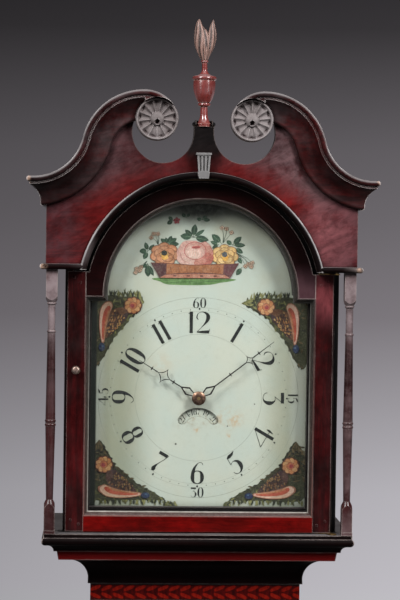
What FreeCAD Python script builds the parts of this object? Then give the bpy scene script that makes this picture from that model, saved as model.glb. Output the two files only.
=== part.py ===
import FreeCAD, Part
import math
import os

# Tall case clock with a swan-neck hood. Millimetres, +Z up, the front faces -Y.

# Heights, from the floor up
FOOT_HEIGHT = 115.0
BASE_HEIGHT = 445.0
TRUNK_HEIGHT = 946.0
HOOD_BASE_HEIGHT = 42.0
COLUMN_HEIGHT = 395.5
FRIEZE_HEIGHT = 137.6
SWAN_RISE = 129.7
PEDESTAL_RISE = 78.0

# Half widths and depth
FRIEZE_HALF = 233.0
HOOD_DEPTH = 236.0
CORNICE_REACH = 29.0
BASE_INSET = 19.0
TRUNK_INSET = 72.0
HOOD_INSET = 29.0
BASE_HALF = FRIEZE_HALF - BASE_INSET
TRUNK_HALF = FRIEZE_HALF - TRUNK_INSET
HOOD_HALF = FRIEZE_HALF - HOOD_INSET

# Boards
BACK_T = 12.0
TRUNK_SIDE_T = 13.0
TRUNK_FRONT_T = 20.0
BASE_T = 18.0
FLOOR_T = 18.0
HOOD_SIDE_T = 12.0
FRIEZE_T = 16.0
SCROLL_T = 16.0
ROOF_T = 8.0
SEAT_T = 22.0
SEAT_BEFORE_PLATE = 7.0
SEAT_DEPTH = 94.0
SURROUND_T = 12.0

# Arch and bead
ARCH_DROP = 38.5
ARCH_GAP = 6.0
BEAD_W = 10.0
BEAD_LIP = 1.5
SHELF_H = 8.5

# Swan necks and rosettes
SWAN_W = 43.5
SWAN_LOW_R = 74.3
SWAN_OUT = 19.5
SWAN_LOW_X = FRIEZE_HALF + SWAN_OUT
SWAN_TOP_X = 89.0
SWAN_END_DEG = 50.0
SWAN_CURL_W = 18.0
NOTCH_R = 46.0
NOTCH_X = 61.0
NOTCH_BELOW_PEDESTAL = 9.0
ROSETTE_R = 31.7
ROSETTE_X = 70.4
ROSETTE_ABOVE_PEDESTAL = 9.2
ROSETTE_T = 21.0

# Hood door
DOOR_SIDE_GAP = 4.0
DOOR_HALF = HOOD_HALF - DOOR_SIDE_GAP
DOOR_T = 18.0
DOOR_GAP = 2.0
STILE_W = 27.0
RAIL_H = 23.0
HEAD_W = 25.0
HEAD_INSET = 28.0
HEAD_R = DOOR_HALF - HEAD_INSET
ARCH_R = HEAD_R + ARCH_GAP
GLASS_T = 2.5
GLASS_LAP = 5.0
HINGE_OUT = 3.0
HINGE_X = DOOR_HALF + HINGE_OUT
HINGE_BACK = 8.0
HINGE_PIN_R = 2.0
STRAP_T = 1.5
KNOB_R = 6.5

# Columns
COLUMN_INSET = 9.5
COLUMN_X = FRIEZE_HALF - COLUMN_INSET
COLUMN_BLOCK = 17.0

# Dial and hands
DIAL_CENTRE_UP = 202.0
DIAL_INSET = 39.0
DIAL_LOW = 166.0
DIAL_SHOULDER = 22.0
DIAL_HALF = HOOD_HALF - DIAL_INSET
DIAL_ARCH_R = DIAL_HALF - DIAL_SHOULDER
DIAL_BACK = 56.0
DIAL_T = 2.0
DATE_DROP = 53.0
DATE_SLOT_IN = 23.5
DATE_SLOT_OUT = 37.5
DATE_SLOT_DEG = 52.0
HAND_MARGIN = 22.0
HAND_STEP = 35.0
MINUTE_HAND_LEN = DIAL_HALF - HAND_MARGIN
HOUR_HAND_LEN = MINUTE_HAND_LEN - HAND_STEP
HAND_LINE = 1.7
HOUR_HAND_DEG = 302.0
MINUTE_HAND_DEG = 52.5
HAND_T = 1.2

# Movement
PLATE_HALF = 72.0
PLATE_HEIGHT = 210.0
PLATE_T = 3.0
PLATE_GAP = 62.0
SEAT_BELOW_CENTRE = 95.0
FRONT_PLATE_BACK = 85.0
PIVOT_R = 1.6
ARBOR_R = 2.5
RUN = 0.06
GREAT_X = 38.0
THIRD_X = -16.0
MINUTE_WHEEL_X = -30.3
VERGE_UP = 34.0
PENDULUM_LEN = 994.0
PENDULUM_BACK = 185.0
BOB_R = 56.0
BOB_T = 30.0
WEIGHT_R = 32.0
WEIGHT_H = 170.0
WEIGHT_BACK = 131.0

# Trunk door
TRUNK_STILE_W = 50.0
TRUNK_TOP_RAIL = 111.0
TRUNK_LOW_RAIL = 100.0
TRUNK_DOOR_GAP = 1.5
BAND_H = 23.0
BAND_DROP = 45.0

# Cove under the hood
COVE_HEIGHT = 43.0
COVE_REACH = 30.5
COVE_FOOT = 4.0
COVE_FILLET = 2.5

# Levels and planes that follow from the sizes above
Z_TRUNK = FOOT_HEIGHT + BASE_HEIGHT
Z_SEAT = Z_TRUNK + TRUNK_HEIGHT
Z_LEDGE = Z_SEAT + HOOD_BASE_HEIGHT
Z_FRIEZE = Z_LEDGE + COLUMN_HEIGHT
Z_ARCH = Z_FRIEZE - ARCH_DROP
Z_CORNICE = Z_FRIEZE + FRIEZE_HEIGHT
Z_SCROLL = Z_CORNICE + SWAN_RISE
Z_PEDESTAL = Z_CORNICE + PEDESTAL_RISE
Z_DIAL = Z_LEDGE + DIAL_CENTRE_UP
Z_BOARD = Z_DIAL - SEAT_BELOW_CENTRE
Z_ROOF = Z_ARCH + HEAD_R + 2.0
Y_BACK = (HOOD_DEPTH + CORNICE_REACH) / 2.0
F = Y_BACK - HOOD_DEPTH
M = FRIEZE_HALF + F
Y_TRUNK = M - TRUNK_HALF
Y_BASE = M - BASE_HALF
Y_BOARD_BACK = Y_BACK - BACK_T
Y_DOOR = F + SCROLL_T + DOOR_GAP
Y_SURROUND = Y_DOOR + DOOR_T + DOOR_GAP
Y_GLASS = Y_DOOR + DOOR_T * 0.66
Y_DIAL = F + DIAL_BACK
Y_PLATE = F + FRONT_PLATE_BACK
Y_PLATE2 = Y_PLATE + PLATE_T + PLATE_GAP
Y_SEAT = Y_PLATE - SEAT_BEFORE_PLATE
Y_PEND = F + PENDULUM_BACK
FAR = 700.0


def vec(x, y, z):
    return FreeCAD.Vector(x, y, z)


def box(x0, x1, y0, y1, z0, z1):
    return Part.makeBox(x1 - x0, y1 - y0, z1 - z0, vec(x0, y0, z0))


def cyl_y(x, z, r, y0, y1):
    return Part.makeCylinder(r, y1 - y0, vec(x, y0, z), vec(0, 1, 0))


def cyl_z(x, y, r, z0, z1):
    return Part.makeCylinder(r, z1 - z0, vec(x, y, z0))


def wire(path, place):
    """Closed wire from 2-D points; a pair of points is an arc through the first to the second."""
    edges = []
    last = path[0]
    for step in list(path[1:]) + [path[0]]:
        if isinstance(step[0], tuple):
            mid, end = step
            edges.append(Part.Arc(place(*last), place(*mid), place(*end)).toShape())
            last = end
        elif math.hypot(step[0] - last[0], step[1] - last[1]) > 1e-6:
            edges.append(Part.makeLine(place(*last), place(*step)))
            last = step
    return Part.Wire(edges)


def slab_xz(path, y0, y1, holes=()):
    """Outline in X and Z, thick in Y."""
    def place(x, z):
        return vec(x, y0, z)
    face = Part.Face([wire(p, place) for p in [path] + list(holes)])
    return face.extrude(vec(0, y1 - y0, 0))


def slab_xy(path, z0, z1):
    """Outline in X and Y, thick in Z."""
    def place(x, y):
        return vec(x, y, z0)
    return Part.Face(wire(path, place)).extrude(vec(0, 0, z1 - z0))


def turned_z(path, x, y):
    """Radius and height outline turned about an upright axis."""
    def place(r, z):
        return vec(x + r, y, z)
    return Part.Face(wire(path, place)).revolve(vec(x, y, 0), vec(0, 0, 1), 360)


def turned_y(path, x, z):
    """Radius and depth outline turned about a fore-and-aft axis."""
    def place(r, y):
        return vec(x + r, y, z)
    return Part.Face(wire(path, place)).revolve(vec(x, 0, z), vec(0, 1, 0), 360)


def fuse(first, *others):
    shape = first.fuse(list(others)) if others else first
    return shape.removeSplitter()


def mirror(shape):
    return shape.mirror(vec(0, 0, 0), vec(1, 0, 0))


def corner_zone(side):
    """Everything outside the mitre plane at one front corner."""
    pts = [(FRIEZE_HALF - FAR, F + FAR), (FRIEZE_HALF + FAR, F - FAR), (FRIEZE_HALF + FAR, F + FAR)]
    return slab_xy([(side * x, y) for x, y in pts], -10.0, 3000.0)


def side_run(path, y_end):
    """Right-hand length of a moulding given as half width and height."""
    def place(h, z):
        return vec(h, F - 60.0, z)
    bar = Part.Face(wire(path, place)).extrude(vec(0, y_end - F + 60.0, 0))
    return bar.common(corner_zone(1))


def front_run(path):
    """Front length of a moulding, mitred at both corners."""
    def place(h, z):
        return vec(-FAR, M - h, z)
    bar = Part.Face(wire(path, place)).extrude(vec(2 * FAR, 0, 0))
    return bar.cut([corner_zone(1), corner_zone(-1)])


def three_sides(path, y_end):
    right = side_run(path, y_end)
    return [front_run(path), mirror(right), right]


def one(shape):
    return shape.Solids[0]


def save(name, shapes):
    solids = []
    for shape in shapes:
        solids.extend(shape.Solids)
    Part.makeCompound(solids).exportStep("parts/" + name + ".step")


# Trunk and base

def backboard():
    z_wing = Z_LEDGE + 2.0
    half = HOOD_HALF - HOOD_SIDE_T - 2.0
    right = [(BASE_HALF, FOOT_HEIGHT), (BASE_HALF, Z_TRUNK), (TRUNK_HALF, Z_TRUNK), (TRUNK_HALF, z_wing),
             (half, z_wing), (half, Z_ROOF - 2.0)]
    path = right + [(-x, z) for x, z in reversed(right)]
    return [slab_xz(path, Y_BOARD_BACK, Y_BACK)]


def trunk_sides():
    inner = TRUNK_HALF - TRUNK_SIDE_T
    side = box(inner, TRUNK_HALF, Y_TRUNK + TRUNK_FRONT_T, Y_BOARD_BACK, Z_TRUNK - 60.0, Z_BOARD - SEAT_T)
    return [side, mirror(side)]


def trunk_front_frame():
    y0, y1 = Y_TRUNK, Y_TRUNK + TRUNK_FRONT_T
    inner = TRUNK_HALF - TRUNK_STILE_W
    stile = box(inner, TRUNK_HALF, y0, y1, Z_TRUNK, Z_SEAT)
    top = box(-inner, inner, y0, y1, Z_SEAT - TRUNK_TOP_RAIL, Z_SEAT)
    low = box(-inner, inner, y0, y1, Z_TRUNK, Z_TRUNK + TRUNK_LOW_RAIL)
    groove = band_zone(1.2)
    return [s.cut(groove) for s in (stile, mirror(stile), top)] + [low]


def band_zone(deep):
    z1 = Z_SEAT - BAND_DROP
    return box(-TRUNK_HALF, TRUNK_HALF, Y_TRUNK - 0.3, Y_TRUNK + deep, z1 - BAND_H, z1)


def trunk_top_cove():
    w = TRUNK_HALF
    out = w + COVE_REACH
    foot = w + COVE_FOOT
    top = Z_SEAT - COVE_FILLET
    low = Z_SEAT - COVE_HEIGHT
    bend = math.sqrt(0.5)
    middle = (out - (out - foot) * bend, low + COVE_FILLET + (top - low - COVE_FILLET) * bend)
    path = [(w, Z_SEAT), (out, Z_SEAT), (out, top), (middle, (foot, low + COVE_FILLET)), (foot, low),
            (w, low)]
    return three_sides(path, Y_BACK)


def base_top_moulding():
    w = TRUNK_HALF
    b = BASE_HALF
    z = Z_TRUNK
    path = [(w, z), (b + 5.0, z), ((b + 7.5, z + 4.5), (b + 5.0, z + 9.0)), (b - 2.0, z + 9.0),
            ((w + 16.0, z + 21.0), (w + 4.0, z + 46.0)), (w + 4.0, z + 50.0), (w, z + 50.0)]
    return three_sides(path, Y_BACK)


def base_panels():
    front = box(-BASE_HALF, BASE_HALF, Y_BASE, Y_BASE + BASE_T, FOOT_HEIGHT, Z_TRUNK)
    side = box(BASE_HALF - BASE_T, BASE_HALF, Y_BASE + BASE_T, Y_BOARD_BACK, FOOT_HEIGHT, Z_TRUNK)
    return [front, side, mirror(side)]


def base_floor():
    half = BASE_HALF - BASE_T
    return [box(-half, half, Y_BASE + BASE_T, Y_BOARD_BACK, FOOT_HEIGHT, FOOT_HEIGHT + FLOOR_T)]


def bracket_feet():
    h = FOOT_HEIGHT
    b = BASE_HALF
    out = [(b, 0.0), (b, h), (b - 120.0, h), (b - 120.0, h - 14.0), ((b - 92.0, h - 26.0), (b - 78.0,
                                                                                            h - 52.0)),
           ((b - 66.0, 45.0), (b - 46.0, 0.0))]
    front = slab_xz(out, Y_BASE, Y_BASE + BASE_T)
    run = [(Y_BASE, 0.0), (Y_BASE, h), (Y_BASE + 100.0, h), (Y_BASE + 100.0, h - 14.0),
           ((Y_BASE + 80.0, h - 26.0), (Y_BASE + 68.0, h - 52.0)), ((Y_BASE + 58.0, 45.0), (Y_BASE + 42.0,
                                                                                            0.0))]

    def side(points):
        def place(y, z):
            return vec(b - BASE_T, y, z)
        return Part.Face(wire(points, place)).extrude(vec(BASE_T, 0, 0))

    def flip(points):
        turned = []
        for p in points:
            if isinstance(p[0], tuple):
                turned.append(tuple((Y_BASE + Y_BACK - y, z) for y, z in p))
            else:
                turned.append((Y_BASE + Y_BACK - p[0], p[1]))
        return turned
    fore = fuse(front, side(run))
    rear = side(flip(run))
    return [fore, mirror(fore), rear, mirror(rear)]


def trunk_door_panel():
    x0 = TRUNK_HALF - TRUNK_STILE_W - TRUNK_DOOR_GAP
    z0 = Z_TRUNK + TRUNK_LOW_RAIL + TRUNK_DOOR_GAP
    z1 = Z_SEAT - TRUNK_TOP_RAIL - TRUNK_DOOR_GAP
    return box(-x0, x0, Y_TRUNK, Y_TRUNK + TRUNK_FRONT_T - 2.0, z0, z1), x0, z0, z1


def trunk_hinges():
    """Fixed leaves with pins, and the leaves that turn with the door."""
    door, x0, z0, z1 = trunk_door_panel()
    axis_x = x0 + TRUNK_DOOR_GAP / 2.0
    axis_y = Y_TRUNK - 2.5
    fixed = []
    moving = []
    for z in (z0 + 90.0, z1 - 140.0):
        leaf = box(axis_x + 1.5, axis_x + 17.0, Y_TRUNK - 1.2, Y_TRUNK, z, z + 50.0)
        leaf = leaf.cut(cyl_z(axis_x, axis_y, 2.6, z + 15.9, z + 34.1))
        pin = cyl_z(axis_x, axis_y, 1.2, z, z + 50.0)
        ends = [cyl_z(axis_x, axis_y, 2.4, z, z + 16.0), cyl_z(axis_x, axis_y, 2.4, z + 34.0, z + 50.0)]
        fixed.append(fuse(leaf, pin, *ends).cut(box(axis_x - 3, axis_x + 3, Y_TRUNK, Y_TRUNK + 5, z, z + 50)))
        flap = box(axis_x - 17.0, axis_x - 1.5, Y_TRUNK - 1.2, Y_TRUNK, z, z + 50.0)
        knuckle = cyl_z(axis_x, axis_y, 2.4, z + 16.1, z + 33.9).cut(cyl_z(axis_x, axis_y, 1.2 + RUN, z,
                                                                           z + 50.0))
        bite = [cyl_z(axis_x, axis_y, 2.5, z, z + 16.1), cyl_z(axis_x, axis_y, 2.5, z + 33.9, z + 50.0)]
        moving.append(fuse(flap.cut(bite), knuckle))
    return fixed, moving


def trunk_door_escutcheon():
    x0 = TRUNK_HALF - TRUNK_STILE_W - TRUNK_DOOR_GAP
    x = -x0 + 20.0
    z = (Z_TRUNK + Z_SEAT) / 2.0 + 60.0
    plate = slab_xz([(x, z + 22.0), ((x + 10.0, z + 8.0), (x + 7.0, z - 6.0)),
                     ((x + 4.0, z - 16.0), (x, z - 24.0)),
                     ((x - 4.0, z - 16.0), (x - 7.0, z - 6.0)), ((x - 10.0, z + 8.0), (x, z + 22.0))],
                    Y_TRUNK - 1.2, Y_TRUNK)
    hole = fuse(cyl_y(x, z + 3.0, 2.6, Y_TRUNK - 3.0, Y_TRUNK + 1.0),
                box(x - 1.2, x + 1.2, Y_TRUNK - 3.0, Y_TRUNK + 1.0, z - 7.0, z + 3.0))
    return [plate.cut(hole)]


def seatboard():
    board = box(-TRUNK_HALF, TRUNK_HALF, Y_SEAT, Y_SEAT + SEAT_DEPTH, Z_BOARD - SEAT_T, Z_BOARD)
    y = Y_PLATE + PLATE_T + 24.0
    slots = []
    for x in (GREAT_X - 26.0, GREAT_X + 26.0):
        slots.append(box(x - 8.0, x + 8.0, y - 10.0, y + 10.0, Z_BOARD - SEAT_T, Z_BOARD))
    return [board.cut(slots)]


# Hood carcase

def hood_base_moulding():
    z = Z_SEAT
    t = Z_LEDGE
    back = TRUNK_HALF + 6.0
    w = FRIEZE_HALF
    path = [(back, z), (w - 23.5, z), (w - 21.2, z + 13.0), (w - 16.2, z + 14.0),
            ((w - 14.2, z + 20.0), (w - 9.0, z + 23.5)), (w - 6.0, z + 24.5),
            ((w + 1.8, t - 11.5), (w - 0.8, t - 6.0)), (w - 0.8, t), (back, t)]
    front, left, right = three_sides(path, Y_BACK - 2.0)
    hole = cyl_z(HINGE_X, F + HINGE_BACK, HINGE_PIN_R + RUN, t - 14.0, t + 1.0)
    return [front.cut(hole), left, right.cut(hole)]


def hood_sides():
    side = box(HOOD_HALF - HOOD_SIDE_T, HOOD_HALF, Y_SURROUND, Y_BACK - 2.0, Z_LEDGE, Z_ROOF)
    return [side, mirror(side)]


def frieze_sides():
    side = box(FRIEZE_HALF - FRIEZE_T, FRIEZE_HALF, F + SCROLL_T, Y_BACK - 2.0, Z_FRIEZE, Z_CORNICE)
    return [side, mirror(side)]


def hood_roof():
    half = FRIEZE_HALF - FRIEZE_T
    return [box(-half, half, F + SCROLL_T, Y_BACK - 2.0, Z_ROOF, Z_ROOF + ROOF_T)]


def dial_surround():
    y0, y1 = Y_SURROUND, Y_SURROUND + SURROUND_T
    half = HOOD_HALF - HOOD_SIDE_T
    open_x = DIAL_HALF - 1.0
    open_r = DIAL_ARCH_R - 3.0
    low = Z_DIAL - DIAL_LOW + 1.0
    shoulder = Z_ARCH + 3.0
    strip = box(open_x, half, y0, y1, Z_LEDGE, shoulder)
    bottom = box(-open_x, open_x, y0, y1, Z_LEDGE, low)
    x = math.sqrt(open_r ** 2 - (shoulder - Z_ARCH) ** 2)
    top = slab_xz([(half, shoulder), (half, Z_ROOF), (-half, Z_ROOF), (-half, shoulder), (-x, shoulder),
                   ((0.0, Z_ARCH + open_r), (x, shoulder))], y0, y1)
    return [strip, mirror(strip), bottom, top]


# Scroll board and its ornament

def swan_arcs():
    """Centres and radii of the lower hollow and the upper round of the right-hand swan neck."""
    low_z = Z_CORNICE + SWAN_LOW_R
    dx = SWAN_LOW_X - SWAN_TOP_X
    h = low_z - Z_SCROLL
    top_r = (dx * dx + h * h - SWAN_LOW_R ** 2) / (2.0 * (SWAN_LOW_R - h))
    top_z = Z_SCROLL - top_r
    turn = math.atan2(low_z - top_z, SWAN_LOW_X - SWAN_TOP_X)
    return low_z, top_z, top_r, turn


def on_circle(x, z, r, angle):
    return (x + r * math.cos(angle), z + r * math.sin(angle))


def scroll_board():
    low_z, top_z, top_r, turn = swan_arcs()
    inset = 14.0
    r1 = SWAN_LOW_R + inset
    r2 = top_r - inset
    foot = math.sqrt(ARCH_R ** 2 - ARCH_DROP ** 2)
    start = math.acos((FRIEZE_HALF - SWAN_LOW_X) / r1)
    a1 = math.pi + turn
    end = math.radians(98.0)
    nz = Z_PEDESTAL - NOTCH_BELOW_PEDESTAL
    half = NOTCH_X - NOTCH_R

    def lower(angle):
        return on_circle(SWAN_LOW_X, low_z, r1, angle)

    def upper(angle):
        return on_circle(SWAN_TOP_X, top_z, r2, angle)
    a0 = -start
    a_mid = (a0 + a1 - 2.0 * math.pi) / 2.0
    right = [(foot, Z_FRIEZE), (FRIEZE_HALF, Z_FRIEZE), lower(a0), (lower(a_mid), lower(a1)),
             (upper((turn + end) / 2.0), upper(end)), on_circle(NOTCH_X, nz, NOTCH_R, math.radians(30.0)),
             (on_circle(NOTCH_X, nz, NOTCH_R, math.radians(-75.0)), (half, nz)), (half, Z_PEDESTAL)]
    left = [(-half, Z_PEDESTAL), (-half, nz),
            (on_circle(-NOTCH_X, nz, NOTCH_R, math.radians(255.0)),
             on_circle(-NOTCH_X, nz, NOTCH_R, math.radians(150.0)))]

    def flip(p):
        return (-p[0], p[1])
    left += [flip(upper(end)), (flip(upper((turn + end) / 2.0)), flip(lower(a1))),
             (flip(lower(a_mid)), flip(lower(a0))), (-FRIEZE_HALF, Z_FRIEZE), (-foot, Z_FRIEZE),
             ((0.0, Z_ARCH + ARCH_R), (foot, Z_FRIEZE))]
    board = slab_xz(right + left, F, F + SCROLL_T)
    pin = cyl_z(HINGE_X, F + HINGE_BACK, HINGE_PIN_R + RUN, Z_FRIEZE - 1.0, Z_FRIEZE + 14.0)
    return [board.cut(pin)]


def cornice_profile():
    """Drop below the top edge and reach from the board, for the swan neck and its return."""
    w = SWAN_W
    p = CORNICE_REACH
    return [(0.0, 0.0), (0.0, p - 3.0), ((4.0, p), (8.0, p - 3.0)), (9.0, p - 4.0), (11.5, p - 4.0),
            ((19.5, 15.0), (w - 7.5, 8.7)), (w - 5.0, 8.7), ((w - 1.5, 7.6), (w, 4.0)), (w, 0.0)]


def map_path(path, change):
    out = []
    for p in path:
        if isinstance(p[0], tuple):
            out.append((change(*p[0]), change(*p[1])))
        else:
            out.append(change(*p))
    return out


def swan_moulding():
    """Right-hand swan neck and its side return."""
    low_z, top_z, top_r, turn = swan_arcs()
    prof = cornice_profile()
    hollow_path = map_path(prof, lambda u, p: (SWAN_LOW_R + u, p))

    def at_bottom(r, p):
        return vec(SWAN_LOW_X, F - p, low_z - r)
    sweep = math.degrees(math.pi / 2.0 - turn)
    hollow = Part.Face(wire(hollow_path, at_bottom)).revolve(vec(SWAN_LOW_X, 0, low_z), vec(0, 1, 0), sweep)
    tip = Part.Face(wire(hollow_path, at_bottom)).extrude(vec(FRIEZE_HALF + CORNICE_REACH + 5.0 - SWAN_LOW_X,
                                                              0, 0))
    round_path = map_path(prof, lambda u, p: (top_r - u, p))
    cs, sn = math.cos(turn), math.sin(turn)

    def at_join(r, p):
        return vec(SWAN_TOP_X + r * cs, F - p, top_z + r * sn)
    lift = math.degrees(math.pi / 2.0 - turn)
    crown = Part.Face(wire(round_path, at_join)).revolve(vec(SWAN_TOP_X, 0, top_z), vec(0, -1, 0), lift)
    rz = Z_PEDESTAL + ROSETTE_ABOVE_PEDESTAL
    end = on_circle(ROSETTE_X, rz, ROSETTE_R, math.pi / 2.0 + math.radians(SWAN_END_DEG))
    across = SWAN_TOP_X - end[0]
    drop = Z_SCROLL - end[1]
    curl_r = (across ** 2 + drop ** 2) / (2.0 * drop)
    p = CORNICE_REACH
    band = [(0.0, 0.0), (0.0, p - 3.0), ((4.0, p), (8.0, p - 3.0)), (9.0, p - 4.0), (SWAN_CURL_W, p - 4.0),
            (SWAN_CURL_W, 0.0)]

    def at_top(u, reach):
        return vec(SWAN_TOP_X, F - reach, Z_SCROLL - u)
    curl = Part.Face(wire(band, at_top)).revolve(vec(SWAN_TOP_X, 0, Z_SCROLL - curl_r), vec(0, -1, 0),
                                                 math.degrees(math.asin(across / curl_r)))
    neck = fuse(hollow, tip, crown, curl).cut(corner_zone(1))
    neck = neck.cut(cyl_y(ROSETTE_X, rz, ROSETTE_R + 0.1, F - 60.0, F + 1.0))
    neck = max(neck.Solids, key=lambda s: s.Volume)
    side_path = map_path(prof, lambda u, p: (FRIEZE_HALF + p, Z_CORNICE - u))
    return [neck, side_run(side_path, Y_BACK - 2.0)]


def rosette():
    z = Z_PEDESTAL + ROSETTE_ABOVE_PEDESTAL
    r = ROSETTE_R
    y = F - ROSETTE_T
    path = [(0.0, F), (r, F), (r, y + 2.0), ((r - 1.2, y), (r - 2.6, y + 2.0)), (r - 3.2, y + 4.0),
            ((r * 0.62, y + 1.5), (11.0, y + 4.5)), ((8.0, y - 0.5), (4.0, y + 0.5)),
            (3.4, y + 3.5), (0.0, y + 3.5)]
    return turned_y(path, ROSETTE_X, z)


def arch_bead():
    inner = ARCH_R - BEAD_LIP
    outer = inner + BEAD_W
    reach = SHELF_H
    path = [(inner, F), (inner, F - reach + 4.5), (((inner + outer) / 2.0, F - reach), (outer,
                                                                                        F - reach + 4.5)),
            (outer, F)]
    ring = turned_y(path, 0.0, Z_ARCH)
    ring = ring.cut(box(-FAR, FAR, F - 60, F + 60, Z_ARCH - FAR, Z_FRIEZE))
    shelf = [(FRIEZE_HALF, Z_FRIEZE), (FRIEZE_HALF + reach - 3.5, Z_FRIEZE),
             ((FRIEZE_HALF + reach, Z_FRIEZE + SHELF_H / 2.0), (FRIEZE_HALF + reach - 3.5,
                                                                Z_FRIEZE + SHELF_H)),
             (FRIEZE_HALF, Z_FRIEZE + SHELF_H)]
    front = front_run(shelf).cut(cyl_y(0.0, Z_ARCH, inner + 0.5 * BEAD_W, F - 60.0, F + 60.0))
    bead = fuse(ring, *front.Solids).cut(keystone_block(0.1))
    right = side_run(shelf, Y_BACK - 2.0)
    return bead.Solids + [right, mirror(right)]


def keystone_block(grow):
    z0 = Z_ARCH + ARCH_R - 1.5
    g = grow
    return slab_xz([(-7.2 - g, z0 - g), (7.2 + g, z0 - g), (10.0 + g, z0 + 35.0 + g),
                    (-10.0 - g, z0 + 35.0 + g)], F - 13.0 - g, F)


def keystone():
    z0 = Z_ARCH + ARCH_R - 1.5
    flutes = []
    for k in (-1, 0, 1):
        flutes.append(slab_xz([(k * 4.6 - 1.4, z0 + 11.0), (k * 4.6 + 1.4, z0 + 11.0),
                               (k * 5.6 + 1.6, z0 + 33.0), (k * 5.6 - 1.6, z0 + 33.0)], F - 14.0, F - 11.0))
    cap = box(-11.4, 11.4, F - 14.5, F, z0 + 35.0, z0 + 38.0)
    return [fuse(keystone_block(0.0).cut(flutes), cap)]


def finial_collar():
    """Rounded collar about the finial's foot, open at the front."""
    z = Z_PEDESTAL
    y = F + SCROLL_T / 2.0
    ring = turned_z([(11.7, z), (14.5, z), ((17.5, z + 3.5), (14.5, z + 7.0)), (13.2, z + 9.5),
                     (11.7, z + 9.5)], 0.0, y)
    return [one(ring.cut(box(-11.7, 11.7, y - 30.0, y, z - 1.0, z + 20.0)))]


def finial_urn():
    z = Z_PEDESTAL
    path = [(0.0, z), (11.5, z), (11.5, z + 4.5), (9.8, z + 6.0), ((7.0, z + 11.5), (5.6, z + 20.0)),
            (5.3, z + 29.5), (7.4, z + 30.5), ((9.3, z + 33.0), (7.4, z + 35.5)), (9.4, z + 36.5),
            ((14.2, z + 47.0), (16.2, z + 68.0)),
            (16.2, z + 69.0), ((18.2, z + 72.0), (16.2, z + 75.0)), (14.0, z + 76.0),
            ((7.0, z + 79.0), (4.0, z + 84.0)),
            (4.0, z + 95.0), ((5.6, z + 97.0), (4.0, z + 99.0)), (0.0, z + 99.0)]
    return [turned_z(path, 0.0, F + SCROLL_T / 2.0)]


def finial_flame():
    """Two carved tongues that rise from one stem."""
    z = Z_PEDESTAL + 99.0
    y = F + SCROLL_T / 2.0
    tongues = []
    for side, tip in ((-1.0, 62.0), (1.0, 60.0)):
        rings = []
        for t, x, r in ((0.0, 0.0, 4.0), (0.09, 0.6, 6.5), (0.25, 3.6, 10.2), (0.45, 7.0, 11.0), (0.62, 8.8,
                                                                                                  9.0),
                        (0.8, 10.6, 5.6), (0.93, 11.6, 2.8), (1.0, 11.8, 1.0)):
            rings.append(Part.Wire(Part.makeCircle(r, vec(side * x, y, z + t * tip), vec(0, 0, 1))))
        tongues.append(Part.makeLoft(rings, True, False))
    return [tongues[0].fuse(tongues[1])]


def column():
    x = COLUMN_X
    y = F + COLUMN_BLOCK / 2.0
    b = COLUMN_BLOCK / 2.0
    z0 = Z_LEDGE
    z1 = Z_FRIEZE
    top = box(x - b, x + b, y - b, y + b, z1 - 40.0, z1)
    cone = Part.makeCone(5.8, 12.3, 10.0, vec(x, y, z1 - 50.0))
    tongue = box(x - b, x + b, y - b, y + b, z1 - 50.0, z1 - 40.0).common(cone)
    s = b - 0.5
    pad = box(x - b, x + b, y - b, y + b, z0, z0 + 5.0)
    low = box(x - s, x + s, y - s, y + s, z0 + 5.0, z0 + 38.0)
    cone2 = Part.makeCone(11.6, 5.4, 13.0, vec(x, y, z0 + 38.0))
    tongue2 = box(x - s, x + s, y - s, y + s, z0 + 38.0, z0 + 51.0).common(cone2)
    mid = z0 + 166.0
    top_ring = z1 - 93.0
    path = [(0.0, z0 + 50.0), (5.25, z0 + 50.0), (7.4, mid - 5.0), ((8.2, mid - 3.0), (7.4, mid - 1.0)),
            (7.4, mid + 1.0), ((8.2, mid + 3.0), (7.4, mid + 5.0)), (5.8, top_ring - 2.0),
            ((6.7, top_ring), (5.5, top_ring + 2.0)), (5.5, z1 - 53.0), ((7.2, z1 - 51.0), (5.8, z1 - 49.0)),
            (0.0, z1 - 49.0)]
    return [fuse(turned_z(path, x, y), top, tongue, pad, low, tongue2)]


# Hood door

def glass_outline(grow):
    x = DOOR_HALF - STILE_W + grow
    r = HEAD_R - HEAD_W + grow
    low = Z_LEDGE + DOOR_GAP + RAIL_H - grow
    shoulder = Z_ARCH - 1.5 + grow
    rx = math.sqrt(r * r - (shoulder - Z_ARCH) ** 2)
    return [(-x, low), (x, low), (x, shoulder), (rx, shoulder), ((0.0, Z_ARCH + r), (-rx, shoulder)),
            (-x, shoulder)]


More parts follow.
